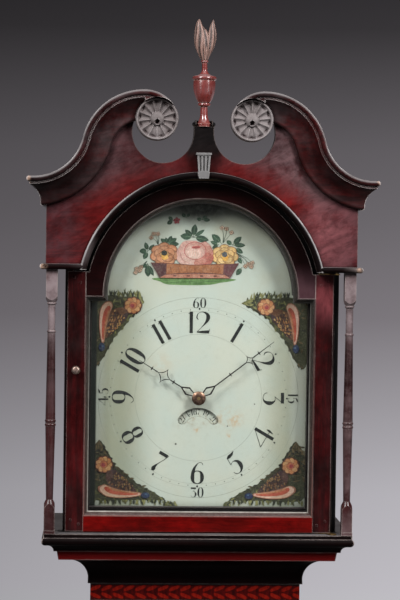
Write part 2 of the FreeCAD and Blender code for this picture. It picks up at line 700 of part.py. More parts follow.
def hood_door():
    y0, y1 = Y_DOOR, Y_DOOR + DOOR_T
    z0 = Z_LEDGE + DOOR_GAP
    z1 = Z_FRIEZE - STRAP_T - 1.5
    inner = DOOR_HALF - STILE_W
    shoulder = Z_ARCH - 1.5
    rebate = slab_xz(glass_outline(GLASS_LAP), Y_GLASS, y1)
    stile = box(inner, DOOR_HALF, y0, y1, z0, z1)
    rail = box(-inner, inner, y0, y1, z0, z0 + RAIL_H)
    r = HEAD_R - HEAD_W
    rx = math.sqrt(r * r - 1.5 ** 2)
    ledge = math.sqrt(HEAD_R ** 2 - (z1 - Z_ARCH) ** 2)
    head = slab_xz([(rx, shoulder), (inner, shoulder), (inner, z1), (ledge, z1), ((0.0, Z_ARCH + HEAD_R),
                                                                                  (-ledge, z1)),
                    (-inner, z1), (-inner, shoulder), (-rx, shoulder), ((0.0, Z_ARCH + r), (rx, shoulder))],
                    y0, y1)
    glass = slab_xz(glass_outline(GLASS_LAP - 0.3), Y_GLASS, Y_GLASS + GLASS_T)
    putty = slab_xz(glass_outline(GLASS_LAP), Y_GLASS + GLASS_T, y1)
    putty = putty.cut(slab_xz(glass_outline(0.0), Y_GLASS, y1))
    right = stile.cut(rebate)
    left = mirror(right)
    knob_z = Z_LEDGE + 245.0
    knob_x = -DOOR_HALF + STILE_W / 2.0
    left = left.cut(cyl_y(knob_x, knob_z, 2.0, y0 - 1.0, y0 + 10.0))
    k = KNOB_R
    knob = turned_y([(0.0, y0 + 10.0), (2.0, y0 + 10.0), (2.0, y0), (k * 0.8, y0), (k * 0.8, y0 - 1.2),
                     (2.4, y0 - 2.5),
                     (2.2, y0 - 5.5), ((k, y0 - 9.5), (k * 0.55, y0 - 13.5)), (0.0, y0 - 14.2)], knob_x,
                     knob_z)
    return left, right, rail.cut(rebate), head.cut(rebate), glass, putty, knob


def hood_door_hinges():
    y = F + HINGE_BACK
    x = HINGE_X
    plan = [(DOOR_HALF - 22.0, Y_DOOR + 3.0), (DOOR_HALF - 22.0, Y_DOOR + 13.0), (DOOR_HALF - 1.0,
                                                                                  Y_DOOR + 13.0),
            (x + 5.0, y + 2.0), (x + 5.0, y - 3.0), (x + 2.0, y - 5.0), (x - 3.0, y - 5.0), (x - 5.0, y),
            (x - 10.0, Y_DOOR)]
    z1 = Z_FRIEZE - STRAP_T - 1.5
    top = fuse(slab_xy(plan, z1, z1 + STRAP_T), cyl_z(x, y, HINGE_PIN_R, z1, Z_FRIEZE + 12.0))
    z0 = Z_LEDGE + DOOR_GAP
    low = fuse(slab_xy(plan, z0 - STRAP_T, z0), cyl_z(x, y, HINGE_PIN_R, Z_LEDGE - 12.0, z0))
    return [top, low]


# Dial and hands

def date_slot(y0, y1):
    z = Z_DIAL - DATE_DROP
    a = math.radians(DATE_SLOT_DEG)
    mid = (DATE_SLOT_IN + DATE_SLOT_OUT) / 2.0
    half = (DATE_SLOT_OUT - DATE_SLOT_IN) / 2.0

    def at(r, angle):
        return (r * math.sin(angle), z + r * math.cos(angle))
    cx, cz = at(mid, a)
    bulge = (cx + half * math.cos(a), cz - half * math.sin(a))
    path = [at(DATE_SLOT_OUT, -a), (at(DATE_SLOT_OUT, 0.0), at(DATE_SLOT_OUT, a)), (bulge, at(DATE_SLOT_IN,
                                                                                              a)),
            (at(DATE_SLOT_IN, 0.0), at(DATE_SLOT_IN, -a)), ((-bulge[0], bulge[1]), at(DATE_SLOT_OUT, -a))]
    return slab_xz(path, y0, y1)


def dial_plate():
    y0, y1 = Y_DIAL, Y_DIAL + DIAL_T
    shoulder = Z_ARCH + 8.0
    rx = math.sqrt(DIAL_ARCH_R ** 2 - 64.0)
    plate = slab_xz([(-DIAL_HALF, Z_DIAL - DIAL_LOW), (DIAL_HALF, Z_DIAL - DIAL_LOW), (DIAL_HALF, shoulder),
                     (rx, shoulder), ((0.0, Z_ARCH + DIAL_ARCH_R), (-rx, shoulder)), (-DIAL_HALF, shoulder)],
                     y0, y1)
    plate = plate.cut([date_slot(y0 - 1.0, y1 + 1.0), cyl_y(0.0, Z_DIAL, 7.5, y0 - 1.0, y1 + 1.0)])
    feet = []
    for x in (-PLATE_HALF + 14.0, PLATE_HALF - 14.0):
        for z in (Z_BOARD + 14.0, Z_BOARD + PLATE_HEIGHT - 16.0):
            feet.append(cyl_y(x, z, 3.0, y1 - 0.5, Y_PLATE))
    stud = cyl_y(0.0, Z_DIAL - DATE_DROP, 3.0, y1 - 0.5, y1 + 5.0)
    return [fuse(plate, stud, *feet)]


def pointer(shape, degrees):
    return shape.rotate(vec(0, 0, Z_DIAL), vec(0, 1, 0), degrees)


def star(z, r, waist):
    """Four points joined by hollow curves."""
    q = waist * math.sqrt(0.5)
    return [(0.0, z + r), ((-q, z + q), (-r, z)), ((-q, z - q), (0.0, z - r)), ((q, z - q), (r, z)),
            ((q, z + q), (0.0, z + r))]


def kite(z, half, low, high):
    return [(-half * 0.3, z + low), (-half, z + low * 0.5 + high * 0.5), (0.0, z + high),
            (half, z + low * 0.5 + high * 0.5), (half * 0.3, z + low)]


def fine_hand(length, y0, bore, kite_high, star_at, star_r, bars):
    """A wire-like hand: an open kite at the boss, an open star and small cross bars."""
    y1 = y0 + HAND_T
    z = Z_DIAL
    w = HAND_LINE / 2.0
    hub_r = bore + 3.5
    loop = slab_xz(kite(z, 6.8, hub_r - 1.0, kite_high), y0, y1, [kite(z, 4.4, hub_r + 1.5, kite_high - 4.5)])
    near = slab_xz([(-w, z + kite_high - 3.0), (w, z + kite_high - 3.0), (w, z + star_at - star_r + 1.9),
                    (-w, z + star_at - star_r + 1.9)], y0, y1)
    waist = star_r * 0.46
    inner = star(z + star_at, star_r - 3.4, waist - 1.25)
    ring = slab_xz(star(z + star_at, star_r, waist), y0, y1, [inner])
    tip = slab_xz([(-w, z + star_at + star_r - 1.9), (w, z + star_at + star_r - 1.9), (0.35, z + length),
                   (-0.35, z + length)], y0, y1)
    crosses = []
    for at in bars:
        crosses.append(slab_xz([(-4.0, z + at), (0.0, z + at - 1.5), (4.0, z + at), (0.0, z + at + 1.5)], y0,
                               y1))
    hub = cyl_y(0.0, z, hub_r, y0, y1)
    return fuse(hub, loop, near, ring, tip, *crosses).cut(cyl_y(0.0, z, bore, y0 - 1.0, y1 + 1.0))


def hour_hand():
    n = HOUR_HAND_LEN
    hand = fine_hand(n, F + 46.8, 4.5 + RUN, 0.31 * n, 0.58 * n, 13.4, (0.42 * n, 0.78 * n))
    pointer(hand, HOUR_HAND_DEG)
    return [hand]


def minute_hand():
    n = MINUTE_HAND_LEN
    hand = fine_hand(n, F + 42.8, ARBOR_R + RUN, 0.23 * n, 0.675 * n, 9.2, (0.42 * n, 0.8 * n))
    pointer(hand, MINUTE_HAND_DEG)
    return [hand]


def hand_collet():
    y1 = F + 42.8
    path = [(ARBOR_R + RUN, y1), (10.5, y1), (10.5, y1 - 0.8), ((7.5, y1 - 2.4), (4.0, y1 - 3.0)),
            (ARBOR_R + RUN, y1 - 3.0)]
    return [turned_y(path, 0.0, Z_DIAL)]


def calendar_wheel():
    z = Z_DIAL - DATE_DROP
    y0 = Y_DIAL + DIAL_T + 1.5
    pts = []
    for k in range(31):
        a = 2.0 * math.pi * k / 31.0
        pts.append((42.0 * math.cos(a), z + 42.0 * math.sin(a)))
        b = a + 2.0 * math.pi / 31.0 * 0.9
        pts.append((39.5 * math.cos(b), z + 39.5 * math.sin(b)))
    disc = slab_xz(pts, y0, y0 + 1.2)
    return [disc.cut(cyl_y(0.0, z, 3.0 + RUN, y0 - 1.0, y0 + 3.0))]


# Movement

def gear_points(x, z, teeth, module, pinion, phase):
    add, ded, wr, wp, wt = (0.6, 1.15, 0.17, 0.17, 0.09) if pinion else (0.8, 1.15, 0.27, 0.21, 0.09)
    r = teeth * module / 2.0
    step = 2.0 * math.pi / teeth
    pts = []
    for k in range(teeth):
        c = phase + k * step
        for rad, h in ((r - ded * module, -wr), (r, -wp), (r + add * module, -wt), (r + add * module, wt),
                       (r, wp),
                       (r - ded * module, wr)):
            pts.append((x + rad * math.cos(c + h * step), z + rad * math.sin(c + h * step)))
    return pts


def ring_points(x, z, r, sides):
    return [(x + r * math.cos(2 * math.pi * k / sides),
             z + r * math.sin(2 * math.pi * k / sides)) for k in range(sides)]


def crossings(x, z, inner, outer):
    """Four windows between the spokes of a wheel."""
    holes = []
    for k in range(4):
        a = math.pi / 4.0 + k * math.pi / 2.0
        pts = []
        for r, lap in ((outer, 0.6), (inner, 0.42)):
            span = [a - lap, a, a + lap] if r == outer else [a + lap, a - lap]
            pts += [(x + r * math.cos(s), z + r * math.sin(s)) for s in span]
        holes.append(pts)
    return holes


def gear(x, z, teeth, module, y0, y1, bore, pinion=False, phase=0.0):
    holes = [ring_points(x, z, bore / math.cos(math.pi / 12.0), 12)]
    r = teeth * module / 2.0
    if r > 18.0:
        holes += crossings(x, z, max(9.0, bore + 5.0), r - 5.0)
    return slab_xz(gear_points(x, z, teeth, module, pinion, phase), y0, y1, holes)


def arbor(x, z, front=None):
    """Arbor between the plates with a thinner pivot in each plate."""
    y0 = Y_PLATE if front is None else front
    r = PIVOT_R if front is None else ARBOR_R
    body = cyl_y(x, z, ARBOR_R, Y_PLATE + PLATE_T + 0.5, Y_PLATE2 - 0.5)
    return fuse(body, cyl_y(x, z, r, y0, Y_PLATE + PLATE_T + 0.5), cyl_y(x, z, PIVOT_R, Y_PLATE2 - 0.5,
                                                                         Y_PLATE2 + PLATE_T))


GREAT_Z = Z_DIAL - math.sqrt(45.0 ** 2 - GREAT_X ** 2)
THIRD_Z = Z_DIAL + math.sqrt(34.0 ** 2 - THIRD_X ** 2)
ESCAPE_Z = THIRD_Z + math.sqrt(29.25 ** 2 - THIRD_X ** 2)
VERGE_Z = ESCAPE_Z + VERGE_UP
MINUTE_WHEEL_Z = Z_DIAL - math.sqrt(35.0 ** 2 - MINUTE_WHEEL_X ** 2)


def facing(x0, z0, x1, z1):
    return math.atan2(z1 - z0, x1 - x0)


def great_wheel():
    x, z = GREAT_X, GREAT_Z
    y = Y_PLATE + PLATE_T
    wheel = gear(x, z, 72, 1.0, y + 8.0, y + 11.0, ARBOR_R + 0.02, phase=facing(x, z, 0.0, Z_DIAL))
    path = [(ARBOR_R + 0.02, y + 15.0), (29.0, y + 15.0), (29.0, y + 18.0), (22.0, y + 24.0), (29.0,
                                                                                               y + 30.0),
            (29.0, y + 33.0), (ARBOR_R + 0.02, y + 33.0)]
    return [wheel, turned_y(path, x, z), arbor(x, z)]


def centre_wheel():
    x, z = 0.0, Z_DIAL
    y = Y_PLATE + PLATE_T
    to_great = facing(x, z, GREAT_X, GREAT_Z)
    pinion = gear(x, z, 18, 1.0, y + 6.0, y + 13.0, ARBOR_R + 0.02, True, to_great + math.pi / 18.0)
    wheel = gear(x, z, 75, 0.8, y + 41.0, y + 43.0, ARBOR_R + 0.02, phase=facing(x, z, THIRD_X, THIRD_Z))
    return [wheel, pinion, arbor(x, z, F + 40.0)]


def third_wheel():
    x, z = THIRD_X, THIRD_Z
    y = Y_PLATE + PLATE_T
    pinion = gear(x, z, 10, 0.8, y + 38.0, y + 46.0, ARBOR_R + 0.02, True, facing(x, z, 0.0,
                                                                                  Z_DIAL) + math.pi / 10.0)
    wheel = gear(x, z, 80, 0.65, y + 25.0, y + 26.5, ARBOR_R + 0.02, phase=facing(x, z, 0.0, ESCAPE_Z))
    return [wheel, pinion, arbor(x, z)]


def escape_wheel():
    x, z = 0.0, ESCAPE_Z
    y = Y_PLATE + PLATE_T
    slim = 1.7
    pinion = gear(x, z, 10, 0.65, y + 22.0, y + 30.0, slim + 0.02, True, facing(x, z, THIRD_X,
                                                                                THIRD_Z) + math.pi / 10.0)
    pts = []
    for k in range(30):
        a = -2.0 * math.pi * k / 30.0
        pts.append((x + 21.0 * math.cos(a), z + 21.0 * math.sin(a)))
        pts.append((x + 17.6 * math.cos(a - 0.045), z + 17.6 * math.sin(a - 0.045)))
        pts.append((x + 17.4 * math.cos(a - 0.15), z + 17.4 * math.sin(a - 0.15)))
    pts.reverse()
    holes = [ring_points(x, z, (slim + 0.02) / math.cos(math.pi / 12.0), 12)] + crossings(x, z, 7.0, 14.5)
    wheel = slab_xz(pts, y + 52.0, y + 53.4, holes)
    rod = fuse(cyl_y(x, z, slim, Y_PLATE + PLATE_T + 0.5, Y_PLATE2 - 0.5), cyl_y(x, z, 1.2, Y_PLATE,
                                                                                 Y_PLATE2 + PLATE_T))
    return [wheel, pinion, rod]


def verge():
    z = VERGE_Z
    y = Y_PLATE + PLATE_T + 51.0
    gap = 21.5
    reach = math.radians(50.0)
    arms = []
    for side in (-1.0, 1.0):
        tx = side * (gap + 0.2) * math.sin(reach)
        tz = ESCAPE_Z + (gap + 0.2) * math.cos(reach)
        path = [(0.0, z + 5.0), (side * 14.0, z + 1.0), (side * 24.5, z - 14.0), (tx + side * 3.5, tz - 2.0),
                (tx, tz),
                (side * 15.5, z - 12.0), (side * 9.0, z - 4.5), (0.0, z - 3.0)]
        arms.append(slab_xz(path, y, y + 4.0))
    clear = cyl_y(0.0, ESCAPE_Z, gap, y - 1.0, y + 6.0)
    anchor = fuse(arms[0], arms[1]).cut([clear, cyl_y(0.0, z, ARBOR_R - 0.3, y - 1.0, y + 6.0)])
    y_crutch = Y_PLATE2 + PLATE_T + 4.0
    rod = fuse(cyl_y(0.0, z, ARBOR_R - 0.3, Y_PLATE + PLATE_T + 0.5, y_crutch + 8.0),
               cyl_y(0.0, z, PIVOT_R, Y_PLATE, y_crutch + 14.0))
    strip = box(-2.5, 2.5, y_crutch, y_crutch + 3.0, z - 138.0, z + 4.0)
    bar = box(-6.0, 6.0, y_crutch, y_crutch + 5.0, z - 140.0, z - 134.0)
    prong = box(3.4, 6.0, y_crutch + 5.0, Y_PEND + 6.0, z - 140.0, z - 134.0)
    crutch = fuse(strip, bar, prong, mirror(prong)).cut(cyl_y(0.0, z, ARBOR_R - 0.3, y_crutch - 1,
                                                              y_crutch + 4))
    return [anchor, rod, crutch]


def plates():
    y0, y1 = Y_PLATE, Y_PLATE + PLATE_T
    z0, z1 = Z_BOARD, Z_BOARD + PLATE_HEIGHT
    front = box(-PLATE_HALF, PLATE_HALF, y0, y1, z0, z1)
    back = box(-PLATE_HALF, PLATE_HALF, Y_PLATE2, Y_PLATE2 + PLATE_T, z0, z1)
    spots = [(GREAT_X, GREAT_Z, PIVOT_R), (THIRD_X, THIRD_Z, PIVOT_R), (0.0, ESCAPE_Z, 1.2), (0.0, VERGE_Z,
                                                                                              PIVOT_R)]
    front = front.cut([cyl_y(x, z, r + RUN, y0 - 1, y1 + 1) for x, z, r in spots + [(0.0, Z_DIAL, ARBOR_R)]])
    spots[3] = (0.0, VERGE_Z, 5.0)
    back = back.cut([cyl_y(x, z, r + RUN, Y_PLATE2 - 1, Y_PLATE2 + PLATE_T + 1)
                     for x, z, r in spots + [(0.0, Z_DIAL, PIVOT_R)]])
    stud = cyl_y(MINUTE_WHEEL_X, MINUTE_WHEEL_Z, 1.5, F + 66.5, y0 + 0.5)
    return fuse(front, stud), back


def plate_pillars():
    out = []
    for x in (-PLATE_HALF + 10.0, PLATE_HALF - 10.0):
        for z in (Z_BOARD + 12.0, Z_BOARD + PLATE_HEIGHT - 12.0):
            y0, y1 = Y_PLATE + PLATE_T, Y_PLATE2
            m = (y0 + y1) / 2.0
            path = [(0.0, y0), (6.0, y0), (6.0, y0 + 3.0), (4.0, y0 + 6.0), (4.0, m - 5.0),
                    ((6.2, m), (4.0, m + 5.0)),
                    (4.0, y1 - 6.0), (6.0, y1 - 3.0), (6.0, y1), (0.0, y1)]
            out.append(turned_y(path, x, z))
    return out


def cannon_pinion():
    x, z = 0.0, Z_DIAL
    to_wheel = facing(x, z, MINUTE_WHEEL_X, MINUTE_WHEEL_Z)
    wheel = gear(x, z, 30, 1.0, F + 76.0, F + 78.0, 4.52, phase=to_wheel)
    pipe = cyl_y(x, z, 4.5, F + 44.0, F + 83.0).cut(cyl_y(x, z, ARBOR_R + RUN, F + 43.0, F + 84.0))
    return [wheel, pipe]


def minute_wheel():
    x, z = MINUTE_WHEEL_X, MINUTE_WHEEL_Z
    to_centre = facing(x, z, 0.0, Z_DIAL)
    wheel = gear(x, z, 40, 1.0, F + 76.0, F + 78.0, 1.5 + RUN, phase=to_centre + math.pi / 40.0)
    pinion = gear(x, z, 8, 0.875, F + 68.0, F + 76.0, 1.5 + RUN, True, to_centre + math.pi / 8.0)
    return [wheel, pinion]


def hour_wheel():
    x, z = 0.0, Z_DIAL
    wheel = gear(x, z, 72, 0.875, F + 70.0, F + 72.0, 6.02, phase=facing(x, z, MINUTE_WHEEL_X,
                                                                         MINUTE_WHEEL_Z))
    pipe = cyl_y(x, z, 6.0, F + 48.0, F + 74.5).cut(cyl_y(x, z, 4.5 + RUN, F + 47.0, F + 75.0))
    return [wheel, pipe]


def pendulum_cock():
    z = VERGE_Z
    y0 = Y_PLATE2 + PLATE_T
    post = box(18.0, 30.0, y0, y0 + 14.0, z - 8.0, z + 10.0)
    cross = box(-30.0, 30.0, y0 + 14.0, y0 + 19.0, z - 8.0, z + 10.0)
    arm = box(-7.0, 7.0, y0 + 19.0, Y_PEND + 8.0, z - 2.5, z + 10.0)
    slot = box(-0.55, 0.55, Y_PEND - 4.6, Y_PEND + 9.0, z - 3.0, z + 6.0)
    hole = cyl_y(0.0, z, PIVOT_R + RUN, y0 + 13.0, y0 + 18.2)
    return [fuse(cross, post, mirror(post), arm).cut([slot, hole])]


def pendulum():
    z = VERGE_Z
    bob_z = z - PENDULUM_LEN
    spring = box(-0.25, 0.25, Y_PEND - 4.0, Y_PEND + 4.0, z - 30.0, z + 4.0)
    block = box(-3.0, 3.0, Y_PEND - 5.0, Y_PEND + 5.0, z - 40.0, z - 28.0)
    rod = fuse(spring, block, cyl_z(0.0, Y_PEND, 2.6, bob_z - BOB_R - 34.0, z - 38.0))
    h = BOB_T / 2.0
    y = Y_PEND
    disc = turned_y([(0.0, y - h), ((BOB_R * 0.6, y - h * 0.78), (BOB_R, y - 1.5)), (BOB_R, y + 1.5),
                     ((BOB_R * 0.6, y + h * 0.78), (0.0, y + h))], 0.0, bob_z)
    bob = disc.cut(cyl_z(0.0, Y_PEND, 2.6 + RUN, bob_z - BOB_R - 5.0, bob_z + BOB_R + 5.0))
    nz = bob_z - BOB_R
    nut = cyl_z(0.0, Y_PEND, 9.0, nz - 7.0, nz).cut(cyl_z(0.0, Y_PEND, 2.6 + RUN, nz - 8.0, nz + 1.0))
    return rod, bob, nut


def weight():
    x = GREAT_X
    y = F + WEIGHT_BACK
    z = FOOT_HEIGHT + FLOOR_T
    top = z + WEIGHT_H
    r = WEIGHT_R
    body = turned_z([(0.0, z), (r - 3.0, z), ((r - 0.9, z + 0.9), (r, z + 3.0)), (r, top - 14.0),
                     ((r * 0.75, top - 3.5), (7.0, top)), (0.0, top)], x, y)
    cheek = box(x - 4.0, x + 4.0, y + 8.0, y + 10.5, top + 8.0, top + 62.0)
    cheek2 = box(x - 4.0, x + 4.0, y - 10.5, y - 8.0, top + 8.0, top + 62.0)
    foot = box(x - 4.0, x + 4.0, y - 10.5, y + 10.5, top + 5.0, top + 8.0)
    neck = cyl_z(x, y, 4.0, top - 2.0, top + 6.0)
    axle_z = top + 36.0
    axle = cyl_y(x, axle_z, 2.0, y - 11.5, y + 11.5)
    sheave = turned_y([(2.0 + RUN, y - 7.0), (24.0, y - 7.0), (24.0, y - 5.5), (19.0, y), (24.0, y + 5.5),
                       (24.0, y + 7.0),
                       (2.0 + RUN, y + 7.0)], x, axle_z)
    return fuse(body, neck, foot, cheek, cheek2, axle), sheave


os.makedirs("parts", exist_ok=True)

save("backboard", backboard())
save("trunk_sides", trunk_sides())
save("trunk_front_frame", trunk_front_frame())
save("trunk_inlay_band", [band_zone(1.2)])
save("trunk_top_cove", trunk_top_cove())
save("base_top_moulding", base_top_moulding())
save("base_panels", base_panels())
save("base_floor", base_floor())
save("bracket_feet", bracket_feet())
save("seatboard", seatboard())
save("trunk_door_panel", [trunk_door_panel()[0]])
save("trunk_door_escutcheon", trunk_door_escutcheon())
leaves, flaps = trunk_hinges()
save("trunk_hinge_leaves", leaves)
save("trunk_door_hinges", flaps)

save("hood_base_moulding", hood_base_moulding())
save("hood_sides", hood_sides())
save("frieze_sides", frieze_sides())
save("hood_roof", hood_roof())
save("dial_surround", dial_surround())
save("scroll_board", scroll_board())
swan = swan_moulding()
save("swan_neck_right", swan)
save("swan_neck_left", [mirror(s) for s in swan])
save("rosette_right", [rosette()])
save("rosette_left", [mirror(rosette())])
save("arch_bead", arch_bead())
save("keystone", keystone())
save("finial_collar", finial_collar())
save("finial_urn", finial_urn())
save("finial_flame", finial_flame())
post = column()
save("column_right", post)
save("column_left", [mirror(s) for s in post])

stile_l, stile_r, rail, head, pane, putty, knob = hood_door()
save("hood_door_stile_left", [stile_l])
save("hood_door_stile_right", [stile_r])
save("hood_door_bottom_rail", [rail])
save("hood_door_arch_head", [head])
save("hood_door_glass", [pane])
save("hood_door_putty", [putty])
save("hood_door_knob", [knob])
save("hood_door_hinges", hood_door_hinges())

save("dial_plate", dial_plate())
save("hour_hand", hour_hand())
save("minute_hand", minute_hand())
save("hand_collet", hand_collet())
save("calendar_wheel", calendar_wheel())

plate_front, plate_back = plates()
save("front_plate", [plate_front])
save("back_plate", [plate_back])
save("plate_pillars", plate_pillars())
save("great_wheel", great_wheel())
save("centre_wheel", centre_wheel())
save("third_wheel", third_wheel())
save("escape_wheel", escape_wheel())
save("verge", verge())
save("cannon_pinion", cannon_pinion())
save("minute_wheel", minute_wheel())
save("hour_wheel", hour_wheel())
save("pendulum_cock", pendulum_cock())
pend_rod, pend_bob, pend_nut = pendulum()
save("pendulum_rod", [pend_rod])
save("pendulum_bob", [pend_bob, pend_nut])
iron, sheave = weight()
save("driving_weight", [iron])
save("weight_pulley", [sheave])
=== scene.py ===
from math import asin, atan2, cos, degrees, hypot, pi, radians, sin, sqrt

import bpy
from mathutils import Euler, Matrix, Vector
from mathutils.geometry import tessellate_polygon


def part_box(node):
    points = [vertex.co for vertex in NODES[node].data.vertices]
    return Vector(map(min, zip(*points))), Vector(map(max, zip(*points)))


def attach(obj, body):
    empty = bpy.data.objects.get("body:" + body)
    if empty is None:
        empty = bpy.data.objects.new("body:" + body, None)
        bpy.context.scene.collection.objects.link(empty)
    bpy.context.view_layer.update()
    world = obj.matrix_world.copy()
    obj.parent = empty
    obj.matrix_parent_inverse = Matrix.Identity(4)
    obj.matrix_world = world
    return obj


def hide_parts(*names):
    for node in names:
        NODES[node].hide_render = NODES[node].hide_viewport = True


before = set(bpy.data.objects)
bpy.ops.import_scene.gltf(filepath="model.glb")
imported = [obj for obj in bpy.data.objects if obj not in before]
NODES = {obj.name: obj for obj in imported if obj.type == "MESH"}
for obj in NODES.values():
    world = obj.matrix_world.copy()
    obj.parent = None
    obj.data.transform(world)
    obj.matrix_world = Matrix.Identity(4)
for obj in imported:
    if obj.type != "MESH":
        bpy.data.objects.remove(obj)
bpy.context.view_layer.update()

MM = 0.001
TURN = 2 * pi
SCENE = bpy.context.scene
SCENE.view_settings.view_transform = "Standard"

# Places taken from the solids, in millimetres
FACE_Y = -103.5
DIAL_Y = -47.5
DIAL_Z = 1750
ARCH_Z = 1905
DATE_Z = 1697
DISC_Y = -44
ROSETTE = (70.4, 2168.3)
FINIAL_Y = -95.5


# Camera and light

def camera():
    """A long lens, a little to the left of the clock and above its dial."""
    aim = Vector((-0.0025, FACE_Y * MM, 1.9005))
    reach = 2.9
    pitch = radians(1.5)
    swing = radians(-3)
    roll = Euler((0, 0, radians(0.8))).to_matrix()
    data = bpy.data.cameras.new("photo_camera")
    data.sensor_width = 36
    data.lens = 116.5
    data.clip_end = 100
    obj = bpy.data.objects.new("photo_camera", data)
    level = reach * cos(pitch)
    obj.location = aim + Vector((level * sin(swing), -level * cos(swing), reach * sin(pitch)))
    look = (aim - obj.location).to_track_quat("-Z", "Y").to_matrix()
    obj.rotation_euler = (look @ roll).to_euler()
    SCENE.collection.objects.link(obj)
    SCENE.camera = obj


def softbox(name, place, aim, size, power, spread):
    data = bpy.data.lights.new(name, "AREA")
    data.shape = "RECTANGLE"
    data.size, data.size_y = size
    data.energy = power
    data.spread = radians(spread)
    obj = bpy.data.objects.new(name, data)
    obj.location = place
    obj.rotation_euler = (Vector(aim) - Vector(place)).to_track_quat("-Z", "Y").to_euler()
    SCENE.collection.objects.link(obj)


# Shader helpers

def rgba(colour):
    return (*colour, 1) if len(colour) == 3 else colour


def scaled(values, k):
    return tuple(value * k for value in values)


class Look:
    """A node tree under construction, with short names for the nodes that are used most."""

    def __init__(self, tree):
        self.tree = tree
        tree.nodes.clear()

    def add(self, kind, *inputs, out=0, named=None, **props):
        """Adds one node, sets or links its inputs in order, and returns one of its outputs."""
        node = self.tree.nodes.new(kind)
        for key, value in props.items():
            setattr(node, key, value)
        for key, value in list(enumerate(inputs)) + list((named or {}).items()):
            socket = node.inputs[key]
            if isinstance(value, bpy.types.NodeSocket):
                self.tree.links.new(value, socket)
            elif value is not None:
                socket.default_value = rgba(value) if socket.type == "RGBA" else value
        return node.outputs[out]

    def end(self, kind, shader):
        self.tree.links.new(shader, self.tree.nodes.new(kind).inputs[0])

    def calc(self, operation, a, b=None, clamp=False):
        return self.add("ShaderNodeMath", a, b, operation=operation, use_clamp=clamp)

    def times(self, value, *factors):
        for factor in factors:
            value = self.calc("MULTIPLY", value, factor)
        return value

    def span(self, value, low, high, to_low=0, to_high=1):
        return self.add("ShaderNodeMapRange", value, low, high, to_low, to_high,
            interpolation_type="SMOOTHSTEP")

    def mix(self, factor, a, b, blend="MIX"):
        return self.add("ShaderNodeMix", factor, out=2, named={6: a, 7: b}, data_type="RGBA",
            blend_type=blend)

    def axes(self, vector):
        node = self.tree.nodes.new("ShaderNodeSeparateXYZ")
        self.tree.links.new(vector, node.inputs[0])
        return node.outputs


class Coat(Look):
    """A material whose colour is laid on in steps, placed by the object's own coordinates in metres."""

    def __init__(self, name, first):
        self.material = bpy.data.materials.new(name)
        self.material.use_nodes = True
        super().__init__(self.material.node_tree)
        self.coords = self.add("ShaderNodeTexCoord", out=3)
        self.x, self.y, self.z = self.axes(self.coords)
        self.colour = first

    def lay(self, tint, *masks, blend="MIX"):
        """Lays a tint over the colour so far, by the product of the masks."""
        self.colour = self.mix(self.times(*masks), self.colour, tint, blend)

    def tone(self, level):
        """Makes the colour so far darker or lighter."""
        self.colour = self.add("ShaderNodeVectorMath", self.colour, operation="SCALE",
            named={"Scale": level})

    def noise(self, scale, detail, rough, stretch=None, warp=0, coords=None):
        """Noise in metres: stretch gives the scale along each axis."""
        coords = self.coords if coords is None else coords
        if stretch:
            coords = self.add("ShaderNodeMapping", coords, named={"Scale": stretch})
        values = {"Vector": coords, "Scale": scale, "Detail": detail, "Roughness": rough,
            "Distortion": warp}
        return self.add("ShaderNodeTexNoise", named=values)

    def near(self, x, z, low, high):
        """One close to a point of the front, in millimetres, falling to nothing at the outer distance."""
        flat = self.add("ShaderNodeVectorMath", self.coords, (1, 0, 1), operation="MULTIPLY")
        gap = self.add("ShaderNodeVectorMath", flat, (x * MM, 0, z * MM), out=1, operation="DISTANCE")
        return self.span(gap, high * MM, low * MM)

    def edges(self, radius, low, high):
        """Grows towards one on sharp edges."""
        soft = self.add("ShaderNodeBevel", radius, samples=4)
        hard = self.add("ShaderNodeNewGeometry", out=1)
        dot = self.add("ShaderNodeVectorMath", soft, hard, out=1, operation="DOT_PRODUCT")
        return self.span(self.calc("SUBTRACT", 1, dot), low, high)

    def hollows(self, reach, low, high):
        """Grows towards one in corners and hollows."""
        open_share = self.add("ShaderNodeAmbientOcclusion", named={"Distance": reach}, out=1, samples=6)
        return self.span(open_share, high, low)

    def bump(self, strength, distance, height):
        return self.add("ShaderNodeBump", strength, distance, named={"Height": height})

    def done(self, roughness, normal=None, **others):
        """Joins the colour and the other results to the shader, and returns the material."""
        named = {"Base Color": self.colour, "Roughness": roughness, "Normal": normal}
        named.update((key.replace("_", " "), value) for key, value in others.items())
        self.end("ShaderNodeOutputMaterial", self.add("ShaderNodeBsdfPrincipled", named=named))
        return self.material


# Materials

def along(grain, few, many):
    """Noise scales that run long along the axis of the grain."""
    return tuple(few if axis == grain else many for axis in "xyz")


